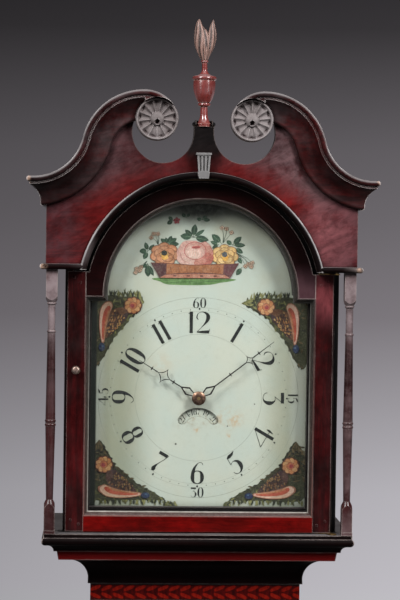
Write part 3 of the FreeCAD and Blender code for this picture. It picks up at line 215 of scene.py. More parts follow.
def wood(name, grain, red, dark, haze_and_sheen=0, wear=0.6, rough=0.38, hollow_shade_and_grime=0.8, worn=(0.2, 0.165, 0.15), dust_and_sheen=0.7,
        grey=(0.105, 0.08, 0.082), haze_and_sheen_x=None, haze_and_sheen_z=None, upward_faces=(0.75, 0.97), lit_lip_base=None, board=False,
        shine=0.25, reach=0.03, slope_highlight=None, tips=None, hollow_shade_tint=(0.004, 0.0025, 0.0025), slant=None, pale_and_lit_patches=()):
    """Varnished wood: mottled stain, streaks along the grain, a grey haze with painted sheen, painted shade
    and grime in hollows, worn edges, and dust and painted sheen on upward faces.

    Each patch is a pale spot, partly wear and partly painted highlight: x, z, inner and outer radius in
    millimetres, strength and tint.
    """
    coat = Coat(name, dark)
    lay, span = coat.lay, coat.span
    mottle = coat.noise(7, 5, 0.6, warp=0.6)
    streak = coat.noise(1, 4, 0.6, along(grain, 7, 170), 0.3)
    pores = coat.noise(1, 2, 0.5, along(grain, 30, 900))
    cloud = coat.noise(16, 6, 0.7)
    lay(red, span(mottle, 0.3, 0.68))
    lay(dark, span(streak, 0.35, 0.62, 0.55, 0))
    lay(scaled(dark, 0.4), span(pores, 0.42, 0.7, 0, 0.4))
    # A grey haze over the wood: a dull film and painted sheen, stronger to one side or higher up where
    # asked.
    haze_and_sheen_mask = coat.times(span(cloud, 0.36, 0.72), haze_and_sheen)
    if haze_and_sheen_x:
        haze_and_sheen_mask = coat.calc("MULTIPLY", haze_and_sheen_mask, span(coat.x, -0.2, 0.2, *haze_and_sheen_x), clamp=True)
    if haze_and_sheen_z:
        haze_and_sheen_mask = coat.times(haze_and_sheen_mask, span(coat.z, *haze_and_sheen_z, 0.25, 1))
    if board:
        board_marks(coat, haze_and_sheen_mask, grey, mottle, cloud)
    elif haze_and_sheen:
        lay(grey, haze_and_sheen_mask)
    for x, z, inner, outer, much, tint in pale_and_lit_patches:
        lay(tint, coat.near(x, z, inner, outer), span(cloud, 0.3, 0.6, 0.25 * much, much))
    if slant:
        way = {"Rotation": (0, radians(slant), 0), "Scale": (0.05, 0.03, 0.017)}
        slanted = coat.add("ShaderNodeMapping", coat.coords, named=way, vector_type="TEXTURE")
        figure = coat.noise(1, 7, 0.74, warp=0.4, coords=slanted)
        coat.tone(span(figure, 0.34, 0.66, 0.62, 1.3))
    # Painted light: a lit red band along the lowest edge of the moulding.
    if lit_lip_base:
        lay((0.13, 0.006, 0.006), span(coat.z, lit_lip_base + 0.016, lit_lip_base + 0.012))
    # Darker in hollows and corners: painted shade, with some grime.
    lay(hollow_shade_tint, coat.hollows(reach, 0.3, 0.85), hollow_shade_and_grime)
    across, _, up = coat.axes(coat.add("ShaderNodeNewGeometry", out=1))
    # Pale on upward faces: settled dust and painted sheen from light above.
    dust_and_top_sheen = coat.times(span(up, *upward_faces), span(cloud, 0.25, 0.6, 0.55, 1), dust_and_sheen)
    lay((0.15, 0.138, 0.138), dust_and_top_sheen)
    # Painted highlight on outward slopes that face up.
    if slope_highlight:
        outward = coat.times(across, coat.calc("SIGN", coat.x))
        lay((0.34, 0.315, 0.315), span(outward, 0.25, 0.7), span(up, -0.1, 0.4),
            span(cloud, 0.3, 0.6, 0.5, 1), slope_highlight)
    if tips:
        front = FACE_Y * MM
        lay((0.4, 0.26, 0.19), span(coat.calc("ABSOLUTE", coat.x), tips, tips + 0.006),
            span(cloud, 0.42, 0.52), span(coat.y, front - 0.004, front - 0.008), 0.8)
    lay(worn, coat.edges(0.0022, 0.015, 0.16), span(cloud, 0.3, 0.62, 0.2, 1), wear)
    varnish = span(cloud, 0.25, 0.75, rough - 0.08, rough + 0.14)
    varnish = coat.calc("ADD", varnish, coat.times(dust_and_top_sheen, 0.4), clamp=True)
    relief = coat.calc("ADD", coat.times(pores, 0.5), streak)
    return coat.done(varnish, coat.bump(0.16, 0.0006, relief), Specular_IOR_Level=shine)


def board_marks(coat, haze_and_sheen_mask, grey, mottle, cloud):
    """Marks on the scroll board: a dark top, a red ring around the arch, a near black neck behind the
    finial that is dirt and painted shade, and dull rims.
    """
    lay, span = coat.lay, coat.span
    lay((0.018, 0.007, 0.008), span(coat.z, 2.03, 2.1, 0, 0.65))
    ring_red = coat.near(0, ARCH_Z, 186, 240)
    lay(grey, haze_and_sheen_mask, coat.calc("SUBTRACT", 1, coat.times(ring_red, 0.85)))
    lay((0.13, 0.005, 0.0045), ring_red, span(mottle, 0.3, 0.6, 0.2, 0.55), span(coat.z, 1.97, 2.05))
    aside = coat.calc("ABSOLUTE", coat.x)
    # Near black neck behind the finial: dirt and painted shade.
    lay((0.004, 0.0035, 0.0035), span(aside, 0.04, 0.02), span(coat.z, 2.08, 2.125), 0.97)
    lay((0.043, 0.017, 0.02), span(aside, 0.165, 0.218), span(cloud, 0.3, 0.6, 0.25, 0.85))


def bare_wood(name, grain):
    coat = Coat(name, (0.13, 0.075, 0.035))
    rings = coat.noise(1, 4, 0.55, along(grain, 5, 120), 0.5)
    stain = coat.noise(5, 4, 0.6)
    coat.lay((0.235, 0.145, 0.07), coat.span(rings, 0.35, 0.65))
    coat.lay((0.055, 0.034, 0.02), coat.span(stain, 0.4, 0.75, 0, 0.6))
    # Darker in hollows: painted shade.
    coat.lay((0.02, 0.013, 0.009), coat.hollows(0.04, 0.3, 0.9), 0.6)
    return coat.done(coat.span(stain, 0.3, 0.7, 0.6, 0.8), coat.bump(0.25, 0.0006, rings))


def metal(name, bright, dull, rough, metallic=1, scale=60):
    coat = Coat(name, bright)
    cloud = coat.noise(scale, 5, 0.65)
    speck = coat.noise(scale * 12, 2, 0.5)
    coat.lay(dull, coat.span(cloud, 0.35, 0.68))
    coat.lay(scaled(dull, 0.3), coat.hollows(0.006, 0.3, 0.9), 0.7)
    gloss = coat.span(cloud, 0.3, 0.7, rough, rough + 0.15)
    return coat.done(gloss, coat.bump(0.12, 0.0002, speck), Metallic=metallic)


def side_grime(coat):
    """Painted shade: darkens the dial towards its left and right sides, below the arch, with a painted
    black shadow line at the left.
    """
    x, z = coat.x, coat.z
    left = coat.times(coat.span(x, -0.055, -0.122), coat.span(x, -0.16, -0.136))
    right = coat.times(coat.span(x, 0.083, 0.132), coat.span(x, 0.151, 0.135, 0, 0.8))
    coat.lay((0.55, 0.54, 0.46), coat.calc("ADD", left, right), coat.span(z, 1.925, 1.89), blend="MULTIPLY")
    coat.lay((0.011, 0.015, 0.011), coat.span(x, -0.154, -0.157), coat.span(z, 1.9, 1.89))


def dial_paint():
    """Aged white paint with a green cast, brown blooms and a darker, yellower tone towards the edges,
    painted shade in hollows and along the sides, and a dark patch at the top of the arch that is partly a
    smear and partly painted shade.
    """
    coat = Coat("dial_white", (0.48, 0.55, 0.48))
    lay, span, near = coat.lay, coat.span, coat.near
    cloud = coat.noise(14, 5, 0.6)
    fine = coat.noise(160, 4, 0.6)
    rust = coat.noise(95, 5, 0.7)
    lay((0.52, 0.555, 0.46), span(cloud, 0.3, 0.7))
    lay((0.4, 0.415, 0.33), span(fine, 0.5, 0.75, 0, 0.25))
    border = near(0, DIAL_Z + 10, 215, 120)
    lay((0.36, 0.375, 0.27), border, span(cloud, 0.3, 0.7, 0.1, 0.55))
    for x, z, low, high, much in ((46, 1720, 4, 26, 0.75), (46, 1692, 1, 6.5, 0.8), (-2, 1701, 1, 7, 0.8),
            (62, 1716, 2, 15, 0.4), (-58, 1800, 4, 30, 0.25)):
        lay((0.5, 0.33, 0.17), near(x, z, low, high), span(rust, 0.4, 0.62), much)
    for x, z, low, high in ((-33.6, 1679, 0.7, 2.2), (45, 1707, 0.4, 1.6), (86, 1741, 0.4, 1.5)):
        lay((0.06, 0.06, 0.05), near(x, z, low, high))
    above_slot = span(coat.z, DATE_Z * MM, (DATE_Z + 16) * MM)
    lay((0.34, 0.29, 0.2), near(0, DATE_Z, 34, 44), span(rust, 0.42, 0.7, 0, 0.7), above_slot)
    # Painted shade in the hollows next to raised parts.
    lay((0.09, 0.085, 0.06), coat.hollows(0.02, 0.25, 0.75), 0.75)
    side_grime(coat)
    # A dark patch at the top of the arch: partly a worn smear, partly painted shade under the door head.
    arch_top_smear_and_shade = near(0, ARCH_Z + 160, 30, 68)
    lay((0.02, 0.022, 0.016), arch_top_smear_and_shade, span(rust, 0.3, 0.6, 0.72, 0.97))
    return coat.done(span(cloud, 0.3, 0.7, 0.34, 0.5), coat.bump(0.1, 0.0003, fine))


def brush_paint(name, fade, rough=0.45, with_side_shade=False):
    """Hand-laid paint whose colour is carried by the mesh."""
    coat = Coat(name, None)
    laid = coat.add("ShaderNodeAttribute", attribute_name="Paint")
    stroke = coat.noise(420, 4, 0.6)
    wash = coat.noise(110, 4, 0.65)
    daub = coat.noise(300, 5, 0.7, warp=1.2)
    coat.colour = laid
    coat.lay((0.5, 0.54, 0.44), coat.span(stroke, 0.4, 0.75, 0, fade))
    coat.lay(laid, coat.span(wash, 0.35, 0.7, 0.35, 0), blend="MULTIPLY")
    coat.tone(coat.span(daub, 0.3, 0.7, 1 - 2 * fade, 1 + 1.6 * fade))
    # Painted shade towards the dial's sides, as on the white paint.
    if with_side_shade:
        side_grime(coat)
    return coat.done(coat.span(wash, 0.3, 0.7, rough - 0.08, rough + 0.1), coat.bump(0.15, 0.0003, stroke))


def inlay():
    """Two rows of slanted leaves in light and dark veneers between stringing lines."""
    coat = Coat("inlay_leaves", None)
    low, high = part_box("trunk_inlay_band")
    middle = (low.z + high.z) / 2
    half = (high.z - low.z) / 2
    pitch, lean = 0.0173, 1.3
    belly, reach, widest = 0.52, 0.46, 0.37
    away = coat.calc("ABSOLUTE", coat.calc("SUBTRACT", coat.z, middle))
    shifted = coat.calc("ADD", coat.calc("ADD", coat.x, 1), coat.times(away, -lean))
    turn = coat.calc("FRACT", coat.calc("DIVIDE", shifted, pitch))
    blade = coat.calc("ABSOLUTE", coat.calc("SUBTRACT", turn, 0.5))
    rise = coat.calc("DIVIDE", away, half)
    off = coat.calc("DIVIDE", coat.calc("SUBTRACT", rise, belly), reach)
    fat = coat.times(coat.calc("SUBTRACT", 1, coat.times(off, off)), widest)
    leaf = coat.span(coat.calc("SUBTRACT", fat, blade), -0.05, 0.08)
    streak = coat.noise(1, 3, 0.6, (260, 260, 90))
    light = coat.mix(coat.span(streak, 0.35, 0.65), (0.135, 0.004, 0.002), (0.215, 0.009, 0.004))
    coat.colour = coat.mix(coat.span(streak, 0.3, 0.7), (0.022, 0.001, 0.001), (0.07, 0.0025, 0.002))
    coat.lay(light, leaf)
    coat.lay((0.012, 0.004, 0.004), coat.span(rise, 0.9, 0.94))
    gloss = coat.span(streak, 0.3, 0.7, 0.3, 0.45)
    return coat.done(gloss, coat.bump(0.12, 0.0004, streak), Specular_IOR_Level=0.08)


def glass():
    coat = Coat("old_glass", (0.01, 0.012, 0.011))
    return coat.done(0.03, coat.bump(0.06, 0.002, coat.noise(9, 2, 0.4)), Alpha=0.06)


def putty():
    coat = Coat("old_putty", (0.12, 0.105, 0.085))
    cloud = coat.noise(70, 5, 0.7)
    coat.lay((0.3, 0.28, 0.235), coat.span(cloud, 0.35, 0.7))
    return coat.done(0.75, coat.bump(0.4, 0.0008, cloud))


def floor_paint():
    coat = Coat("pale_floor", (0.5, 0.5, 0.5))
    coat.lay((0.56, 0.56, 0.56), coat.noise(3, 4, 0.5))
    return coat.done(0.8)


# Mesh helpers, in millimetres

def smooth_line(points, steps=6, closed=False):
    """Points along a smooth curve through the given points; each point may carry a width."""
    count = len(points)
    rows = []
    for i in range(count if closed else count - 1):
        four = []
        for k in range(i - 1, i + 3):
            four.append(points[k % count if closed else min(max(k, 0), count - 1)])
        for s in range(steps):
            t = s / steps
            row = []
            for a, b, c, d in zip(*four):
                square = 2 * a - 5 * b + 4 * c - d
                cube = 3 * b - a - 3 * c + d
                row.append(0.5 * (2 * b + (c - a) * t + square * t * t + cube * t ** 3))
            rows.append(tuple(row))
    if not closed:
        rows.append(tuple(points[-1]))
    return rows


def about(x, z, rx, rz, a):
    """The point of an upright ellipse at an angle in radians."""
    return x + rx * cos(a), z + rz * sin(a)


def turned_about(x, z, points, angle):
    """Offsets turned anticlockwise and set at a point."""
    c, s = cos(radians(angle)), sin(radians(angle))
    return [(x + u * c - v * s, z + u * s + v * c) for u, v in points]


def band(rows, sides, base=0, flip=False, closed=False):
    """Quads between neighbouring rings of points, and from the last ring to the first when closed."""
    faces = []
    for i in range(rows if closed else rows - 1):
        here = base + i * sides
        there = base + (i + 1) % rows * sides
        for j in range(sides):
            k = (j + 1) % sides
            a, b, c, d = here + j, here + k, there + k, there + j
            faces.append((a, d, c, b) if flip else (a, b, c, d))
    return faces


def solid(name, verts, faces, material, body, smooth=True, tints=()):
    """A mesh that rides on a body; tints give each of its points a colour for brush paint."""
    mesh = bpy.data.meshes.new(name)
    mesh.from_pydata([scaled(point, MM) for point in verts], [], faces)
    for poly in mesh.polygons:
        poly.use_smooth = smooth
    if tints:
        layer = mesh.color_attributes.new("Paint", "FLOAT_COLOR", "POINT")
        for point, colour in zip(layer.data, tints):
            point.color = rgba(colour)
    mesh.update()
    mesh.materials.append(material)
    obj = bpy.data.objects.new(name, mesh)
    SCENE.collection.objects.link(obj)
    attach(obj, body)
    return obj


class Painting:
    """Flat shapes laid one over another, each on its own plane that faces the front."""

    STEP = 0.004
    FIRST = 6

    def __init__(self, y, origin=(0, 0)):
        self.y = y
        self.origin = origin
        self.count = 0
        self.verts = []
        self.faces = []
        self.tints = []

    def lay(self, points, faces, colour):
        """Puts one shape just in front of the shapes before it."""
        self.count += 1
        y = self.y - self.STEP * (self.count + self.FIRST)
        base = len(self.verts)
        self.verts += [(self.origin[0] + x, y, self.origin[1] + z) for x, z in points]
        self.faces += [tuple(base + i for i in face) for face in faces]
        self.tints += [colour] * len(points)

    def fill(self, outline, colour):
        self.lay(outline, tessellate_polygon([[Vector((x, z, 0)) for x, z in outline]]), colour)

    def stroke(self, points, colour, closed=False):
        """A ribbon along (x, z, width) points."""
        count = len(points)
        edges = []
        for i, (x, z, w) in enumerate(points):
            a = points[i - 1] if (i or closed) else points[i]
            b = points[(i + 1) % count] if (closed or i + 1 < count) else points[i]
            d = Vector((b[0] - a[0], b[1] - a[1]))
            d = d.normalized() if d.length > 1e-9 else Vector((1, 0))
            for side in (1, -1):
                edges.append((x - d.y * w / 2 * side, z + d.x * w / 2 * side))
        faces = []
        for i in range(count if closed else count - 1):
            j = (i + 1) % count
            faces.append((2 * i, 2 * i + 1, 2 * j + 1, 2 * j))
        self.lay(edges, faces, colour)

    def oval(self, x, z, rx, rz, colour, turn=0, sides=22, wave=0, lobes=0):
        outline = []
        for i in range(sides):
            a = TURN * i / sides
            k = 1 + wave * cos(lobes * a)
            outline.append((rx * k * cos(a), rz * k * sin(a)))
        self.fill(turned_about(x, z, outline, turn), colour)

    def leaf(self, x, z, length, width, turn, colour, vein=None):
        """A pointed leaf that starts at (x, z) and runs along the angle turn."""
        side = [(0, 0), (0.12, 0.3), (0.35, 0.49), (0.6, 0.48), (0.82, 0.3), (1, 0)]
        outline = [(t * length, w * width) for t, w in side]
        outline += [(t * length, -w * width) for t, w in side[-2:0:-1]]
        self.fill(turned_about(x, z, outline, turn), colour)
        if vein:
            tip = about(x, z, length * 0.85, length * 0.85, radians(turn))
            self.stroke([(x, z, width * 0.12), (*tip, width * 0.05)], vein)

    def make(self, name, material, body, slot):
        solid(name, self.verts, self.faces, material, body, False, self.tints)


# Numerals with thick and thin strokes, drawn in a box one unit tall

THIN = 0.024
STEM = 0.15
BOWL = 0.17
THICK = 0.18


def ring(cx, cz, rx, rz, thick, steps=28):
    rows = []
    for i in range(steps + 1):
        a = TURN * i / steps
        w = THIN + (thick - THIN) * abs(cos(a)) ** 1.6
        rows.append((*about(cx, cz, rx - w / 2, rz - THIN / 2, a), w))
    return rows


def curve(*points):
    return smooth_line(points, 7)


DIGITS = {
    "0": (0.62, [ring(0.31, 0.5, 0.31, 0.5, THICK)]),
    "1": (0.26, [[(0.13, 0, STEM), (0.13, 1, STEM)], [(0, 0.9, THIN), (0.14, 0.985, THIN)]]),
    "2": (0.66, [curve((0.1, 0.62, THIN), (0.03, 0.74, 0.05), (0.1, 0.92, THIN), (0.3, 0.99, THIN),
        (0.5, 0.9, 0.12), (0.56, 0.72, THICK), (0.46, 0.5, 0.1), (0.26, 0.28, THIN),
        (0.05, 0.06, THIN)),
        [(0.04, 0.045, 0.04), (0.3, 0.055, 0.11), (0.6, 0.06, STEM)],
        [(0.6, 0.03, THIN), (0.64, 0.2, THIN)]]),
    "3": (0.6, [[(0.03, 0.92, STEM), (0.53, 0.92, STEM)], [(0.53, 0.95, THIN), (0.22, 0.56, THIN)],
        curve((0.2, 0.56, THIN), (0.36, 0.58, THIN), (0.48, 0.48, 0.1), (0.52, 0.3, THICK),
        (0.45, 0.1, 0.1), (0.3, 0.01, THIN), (0.1, 0.06, THIN), (0.03, 0.2, THIN))]),
    "4": (1.1, [[(0.66, 0, STEM), (0.66, 1, STEM)], [(0.62, 0.97, THIN), (0.04, 0.33, THIN)],
        [(0.04, 0.33, THIN), (0.9, 0.33, THIN)],
        [(0.86, 0.14, 0.02), (0.9, 0.36, 0.1), (0.9, 0.5, 0.02)]]),
    "5": (0.6, [[(0.08, 0.86, 0.05), (0.2, 0.9, 0.16), (0.36, 0.95, 0.12), (0.5, 1.04, 0.02)],
        [(0.09, 0.9, THIN), (0.09, 0.53, THIN)],
        curve((0.09, 0.53, THIN), (0.26, 0.62, THIN), (0.44, 0.53, 0.12), (0.5, 0.32, THICK),
        (0.43, 0.1, 0.1), (0.27, 0.01, THIN), (0.1, 0.06, THIN), (0.05, 0.16, THIN))]),
    "6": (0.62, [ring(0.31, 0.3, 0.31, 0.31, BOWL),
        curve((0.08, 0.28, STEM), (0.11, 0.54, STEM), (0.2, 0.78, 0.09), (0.36, 0.97, THIN),
        (0.5, 0.98, THIN), (0.57, 0.88, THIN))]),
    "7": (0.56, [[(0.02, 0.92, STEM), (0.46, 0.92, STEM)], [(0.5, 0.97, THIN), (0.36, 0.66, THIN)],
        curve((0.36, 0.66, THIN), (0.24, 0.44, 0.03), (0.17, 0.27, 0.1), (0.15, 0.13, 0.19),
        (0.17, 0.02, 0.1))]),
    "8": (0.6, [ring(0.3, 0.76, 0.25, 0.25, STEM), ring(0.3, 0.26, 0.3, 0.27, BOWL)]),
    "9": (0.62, [ring(0.31, 0.7, 0.31, 0.31, BOWL),
        curve((0.54, 0.72, STEM), (0.51, 0.46, STEM), (0.42, 0.22, 0.09), (0.26, 0.03, THIN),
        (0.12, 0.02, THIN), (0.05, 0.12, THIN))]),
}


def number(art, text, x, z, height, turn, weight=1, gap=0.1):
    """Writes a number centred on (x, z), turned clockwise by an angle in degrees."""
    left = -(sum(DIGITS[ch][0] for ch in text) + gap * (len(text) - 1)) / 2
    for ch in text:
        width, strokes = DIGITS[ch]
        for rows in strokes:
            flat = [((left + u) * height, (v - 0.5) * height) for u, v, w in rows]
            laid = zip(turned_about(x, z, flat, -turn), rows)
            art.stroke([(*point, row[2] * height * weight) for point, row in laid], INK)
        left += width + gap


def polar(r, angle, z=DIAL_Z):
    """A point on the dial at a radius and a clockwise angle from the top."""
    a = radians(angle)
    return r * sin(a), z + r * cos(a)


# Paint of the dial

INK = (0.012, 0.015, 0.014)
FAINT = (0.3, 0.33, 0.27)
FAINTER = (0.38, 0.41, 0.34)
LEAF = (0.024, 0.06, 0.036)
LEAF_LIT = (0.12, 0.19, 0.11)
MOSS = (0.13, 0.25, 0.08)
BLUSH = (0.58, 0.36, 0.3)
CORAL = (0.56, 0.33, 0.27)
SHELL = (0.62, 0.43, 0.36)
GOLD = (0.68, 0.4, 0.09)
STRAW = (0.34, 0.14, 0.06)
PLUM = (0.085, 0.03, 0.032)
SLATE = (0.016, 0.03, 0.08)

# Steps that spread points evenly over an area
SPREAD_T = 0.7549
SPREAD_S = 0.5698


def chapters():
    """Hour and minute numbers, minute dots and the fine circles."""
    art = Painting(DIAL_Y)
    hour_r, dot_r, mark_r, minute_r = 115, 134.5, 135.6, 144.6
    tall, low = 32.6, 15
    for r, width, colour in ((152.8, 0.5, FAINT), (96.8, 0.45, FAINT), (131.6, 0.4, FAINTER),
            (137.4, 0.4, FAINTER)):
        art.stroke([(*polar(r, 2 * i), width) for i in range(180)], colour, closed=True)
    for minute in range(60):
        art.oval(*polar(dot_r, 6 * minute), 0.8, 0.8, (0.12, 0.135, 0.11), sides=10)
    for hour in range(1, 13):
        angle = 30 * hour
        number(art, str(hour), *polar(hour_r, angle), tall, angle + (180 if 4 <= hour <= 8 else 0))
        art.oval(*polar(mark_r, angle), 1.3, 1.3, INK, sides=12)
    for text, angle, turn in (("60", 0, 0), ("15", 90, 90), ("30", 180, 0), ("45", 270, -90)):
        number(art, text, *polar(minute_r, angle), low, turn, weight=0.9)
    return art


def dates():
    """Every second day of the month, written around the calendar disc."""
    art = Painting(DISC_Y)
    for day in range(0, 31, 2):
        angle = 360 * day / 31
        number(art, str((day + 16) % 31 + 1), *polar(31, angle, DATE_Z), 8.4, angle, weight=0.9, gap=0.12)
    return art


def fans(art, groups):
    """Leaves on short stalks that spread from a few common points to their tips."""
    for (u, v), tips in groups:
        for k, (tu, tv, width) in enumerate(tips):
            reach = hypot(tu - u, tv - v)
            turn = degrees(atan2(tv - v, tu - u))
            su, sv = u + 0.15 * (tu - u), v + 0.15 * (tv - v)
            art.stroke([(u, v, 0.8), (su, sv, 0.6)], LEAF)
            green = LEAF if k % 3 else (0.035, 0.085, 0.05)
            art.leaf(su, sv, 0.88 * reach, 1.12 * width, turn, green, LEAF_LIT)


def peony(art, x, z, rx, rz, outer, inner, heart):
    """A cupped flower: rows of wide outlined petals, a yellow throat and a dark heart."""
    line = (outer[0] * 0.28, outer[1] * 0.2, outer[2] * 0.22)
    for reach, wide, count, first in ((0.64, 0.44, 7, 94), (0.36, 0.42, 5, 95)):
        for k in range(count):
            way = (k + 1) // 2 * (1 if k % 2 else -1)
            a = radians(first + way * 360 / count)
            tone = 0.85 + 0.25 * ((k * 5) % 4) / 3
            tint = (min(0.9, outer[0] * tone), outer[1] * tone, outer[2] * tone)
            lit = (min(0.9, tint[0] * 1.25), tint[1] * 1.4, tint[2] * 1.5)
            middle = about(x, z, rx * reach, rz * reach, a)
            tip = about(x, z, rx * (reach + 0.16), rz * (reach + 0.16), a)
            art.oval(*middle, rx * (wide + 0.028), rz * (wide + 0.032), line, sides=18)
            art.oval(*middle, rx * wide, rz * wide, tint, sides=18)
            art.oval(*tip, rx * wide * 0.6, rz * wide * 0.5, lit, degrees(a) + 90, 14)
    art.oval(x, z - rz * 0.02, rx * 0.36, rz * 0.38, line, sides=20)
    art.oval(x, z - rz * 0.02, rx * 0.33, rz * 0.35, inner, sides=20, wave=0.08, lobes=6)
    art.oval(x + 0.5, z - rz * 0.24, rx * 0.26, rz * 0.26, GOLD, sides=16)
    art.oval(x - 0.5, z + rz * 0.12, rx * 0.22, rz * 0.25, heart, sides=16)


def sprig(art, root, spots):
    """Fine bent stalks that carry a few small open blossoms."""
    petals = ((1.9, 1.8, 2, 1.8, (0.1, 0.05, 0.03)), (2, 1.9, 1.25, 1.1, (0.6, 0.46, 0.33)))
    for k, (u, v) in enumerate(spots):
        middle = ((u + root[0]) / 2 + 1.5, (v + root[1]) / 2 + 1, 0.5)
        art.stroke(smooth_line([(*root, 0.7), middle, (u, v, 0.4)], 4), LEAF)
        for away_x, away_z, rx, rz, tint in petals:
            for j in range(4):
                a = radians(90 * j + 35 * k)
                art.oval(*about(u, v, away_x, away_z, a), rx, rz, tint, sides=10)
        art.oval(u, v, 0.8, 0.8, (0.2, 0.05, 0.03), sides=8)


def rose(art):
    """Wavy outer petals, a cup of paler ovals with a dark mouth, and fine veins."""
    line = (0.42, 0.1, 0.09)
    for u, v, rx, rz, turn, tint in ((-7, 49, 20, 19, 0, BLUSH), (-14, 42, 13, 11, 10, (0.6, 0.4, 0.34)),
            (-5, 38, 13, 8, -8, SHELL), (14, 56, 9.5, 10, 20, CORAL),
            (18, 49, 9, 11, -6, (0.52, 0.27, 0.21)), (16, 40, 12, 9, 16, (0.44, 0.16, 0.12)),
            (8, 36, 9, 6.5, 20, (0.52, 0.25, 0.19))):
        art.oval(u, v, rx + 0.5, rz + 0.5, line if u > 0 else (0.66, 0.36, 0.3), turn, 26, 0.04, 6)
        art.oval(u, v, rx, rz, tint, turn, 26, 0.04, 6)
    for u, v, rx, rz, tint, turn, sides in ((0, 52.5, 17, 13.8, line, 0, 30),
            (0, 52.5, 16.1, 12.9, CORAL, 0, 30), (-1, 50.5, 14, 10.6, SHELL, 0, 26),
            (-1.5, 48.5, 10, 7.4, (0.66, 0.5, 0.42), 0, 24), (1.5, 58, 7.2, 2.4, (0.5, 0.14, 0.12), 4, 18),
            (1.5, 57.6, 5.4, 1.3, (0.3, 0.06, 0.055), 4, 18)):
        art.oval(u, v, rx, rz, tint, turn, sides)
    for k in range(7):
        vein = [(-12 + 4.1 * k, 44, 0.3), (-9 + 3.3 * k, 50, 0.6), (-5 + 2.1 * k, 56.5, 0.3)]
        art.stroke(smooth_line(vein, 4), (0.66, 0.33, 0.27))
    for arc in ([(-23, 50), (-19, 39), (-8, 33)], [(7, 33), (18, 34), (28, 42)],
            [(11, 41), (20, 43), (26, 52)]):
        art.stroke(smooth_line([(u, v, 0.5) for u, v in arc]), line)


def basket(art):
    """A low basket with plum ends, a pale foot with a row of marks, and a bound rim."""
    rim = [(-67.5, 33.5), (-37.5, 32.6), (-18.5, 31.6), (-2, 30.8), (22, 32), (46, 32.8), (67, 34)]
    foot = [(54, 11.3), (-53.5, 10.7)]
    art.fill(rim + foot, STRAW)
    art.fill([(-52, 15.5), (0, 18.5), (52, 16.5)] + foot, (0.42, 0.2, 0.13))
    art.fill([(-67.5, 33.5), (-43, 32.4), (-43.5, 16.5), (-53.5, 10.7)], PLUM)
    art.fill([(67, 34), (44, 32.6), (43, 18), (54, 11.3)], (0.13, 0.045, 0.05))
    for k in range(-3, 4):
        art.stroke([(12.5 * k, 28, 0.8), (12 * k, 19, 0.6)], (0.2, 0.075, 0.035))
    for k in range(-4, 5):
        u = 10.2 * k
        art.fill([(u - 2, 13), (u + 2.6, 13.2), (u + 2.2, 15.6), (u - 2.2, 15.4)],
            (0.16, 0.06, 0.045) if k % 2 else (0.5, 0.27, 0.18))
    art.stroke(smooth_line([(-53, 15.5, 0.7), (0, 18.6, 1.3), (52, 16.8, 0.7)]), PLUM)
    art.stroke(smooth_line([(u, v, 1) for u, v in rim], 3), (0.15, 0.045, 0.03))


def arch_art():
    """A flower basket on a strip of turf, in a plain folk manner, drawn from the middle of the turf."""
    art = Painting(DIAL_Y, (-8, ARCH_Z + 16.3))
    turf = [(-65.5, 9.5), (-40, 11.5), (0, 12), (40, 11.5), (63, 9.5), (54, 6.5), (40, 4.5), (25, 1.2),
        (-2, 0), (-28, 0.2), (-43, 1), (-53, 5)]
    art.fill(smooth_line(turf, 3, True), MOSS)
    for u, v, w in ((-34, 3, 30), (-6, 4.5, 44), (26, 6, 30), (-46, 7, 16), (4, 2, 28), (46, 8, 18)):
        art.stroke([(u - w / 2, v, 0.6), (u, v + 0.6, 1.6), (u + w / 2, v, 0.5)], (0.075, 0.16, 0.05))
    fans(art, [
        ((-72, 51), [(-84.5, 51, 7.5), (-76, 64, 6), (-62.5, 61, 5), (-78, 39, 7)]),
        ((-72, 32), [(-79, 26, 5), (-71, 12.5, 9), (-63, 14, 6)]),
        ((-42, 62), [(-52.5, 70, 6), (-45, 72, 5), (-36, 74.5, 6), (-28.5, 71, 6.5), (-25, 62.5, 7)]),
        ((-3, 73), [(-22.5, 75, 9), (-15.5, 84, 6.5), (-0.5, 92.5, 8.5), (13.5, 84.5, 5), (20, 69, 9)]),
        ((40.5, 64), [(25.5, 77.5, 9)]), ((36, 62), [(23.5, 67, 5.5), (26, 57, 5)]),
        ((56.5, 62), [(48, 68.5, 6), (70, 74.5, 7.5), (76, 62, 6.5)]), ((60.5, 58), [(72.5, 50, 6.5)]),
        ((64.5, 45), [(71, 34, 5.5)]), ((72, 28.5), [(63.5, 16.5, 7)]),
        ((-34, 98), [(-41, 103.5, 5), (-43, 93, 6)]), ((-14, 103), [(-21, 108.5, 5), (-9, 109, 4)]),
        ((10, 100), [(2, 101, 5), (17, 105.5, 5), (22, 99.5, 5)])])
    sprig(art, (-56.5, 61), [(-67, 71.5), (-63.5, 77.5), (-57, 77.5)])
    sprig(art, (42, 65), [(40.5, 88), (47.5, 86.5), (55, 81)])
    sprig(art, (63, 50), [(77, 30), (81.5, 33.5), (87.5, 35.5), (86, 29.5)])
    sprig(art, (-73, 36), [(-84, 21.5), (-82, 26.5), (-88.5, 24), (-90, 18.5)])
    for k in range(5):
        a = TURN * k / 5 + 0.4
        art.oval(*about(-28.5, 98, 2.9, 2.9, a), 2.5, 1.9, (0.3, 0.055, 0.065), degrees(a), 12)
    art.oval(-28.5, 98, 1.3, 1.3, (0.12, 0.03, 0.03), sides=10)
    peony(art, -46.5, 46.5, 20.5, 16.5, (0.44, 0.2, 0.1), (0.46, 0.28, 0.11), (0.012, 0.014, 0.012))
    peony(art, 45.5, 45.5, 19, 16, (0.56, 0.36, 0.15), (0.62, 0.4, 0.14), (0.1, 0.115, 0.13))
    rose(art)
    basket(art)
    return art


def scatter(k):
    """A number from 0 to 3 that looks random but is the same in each run."""
    return int(4 * ((sin(12.9898 * k) * 4375.85) % 1))


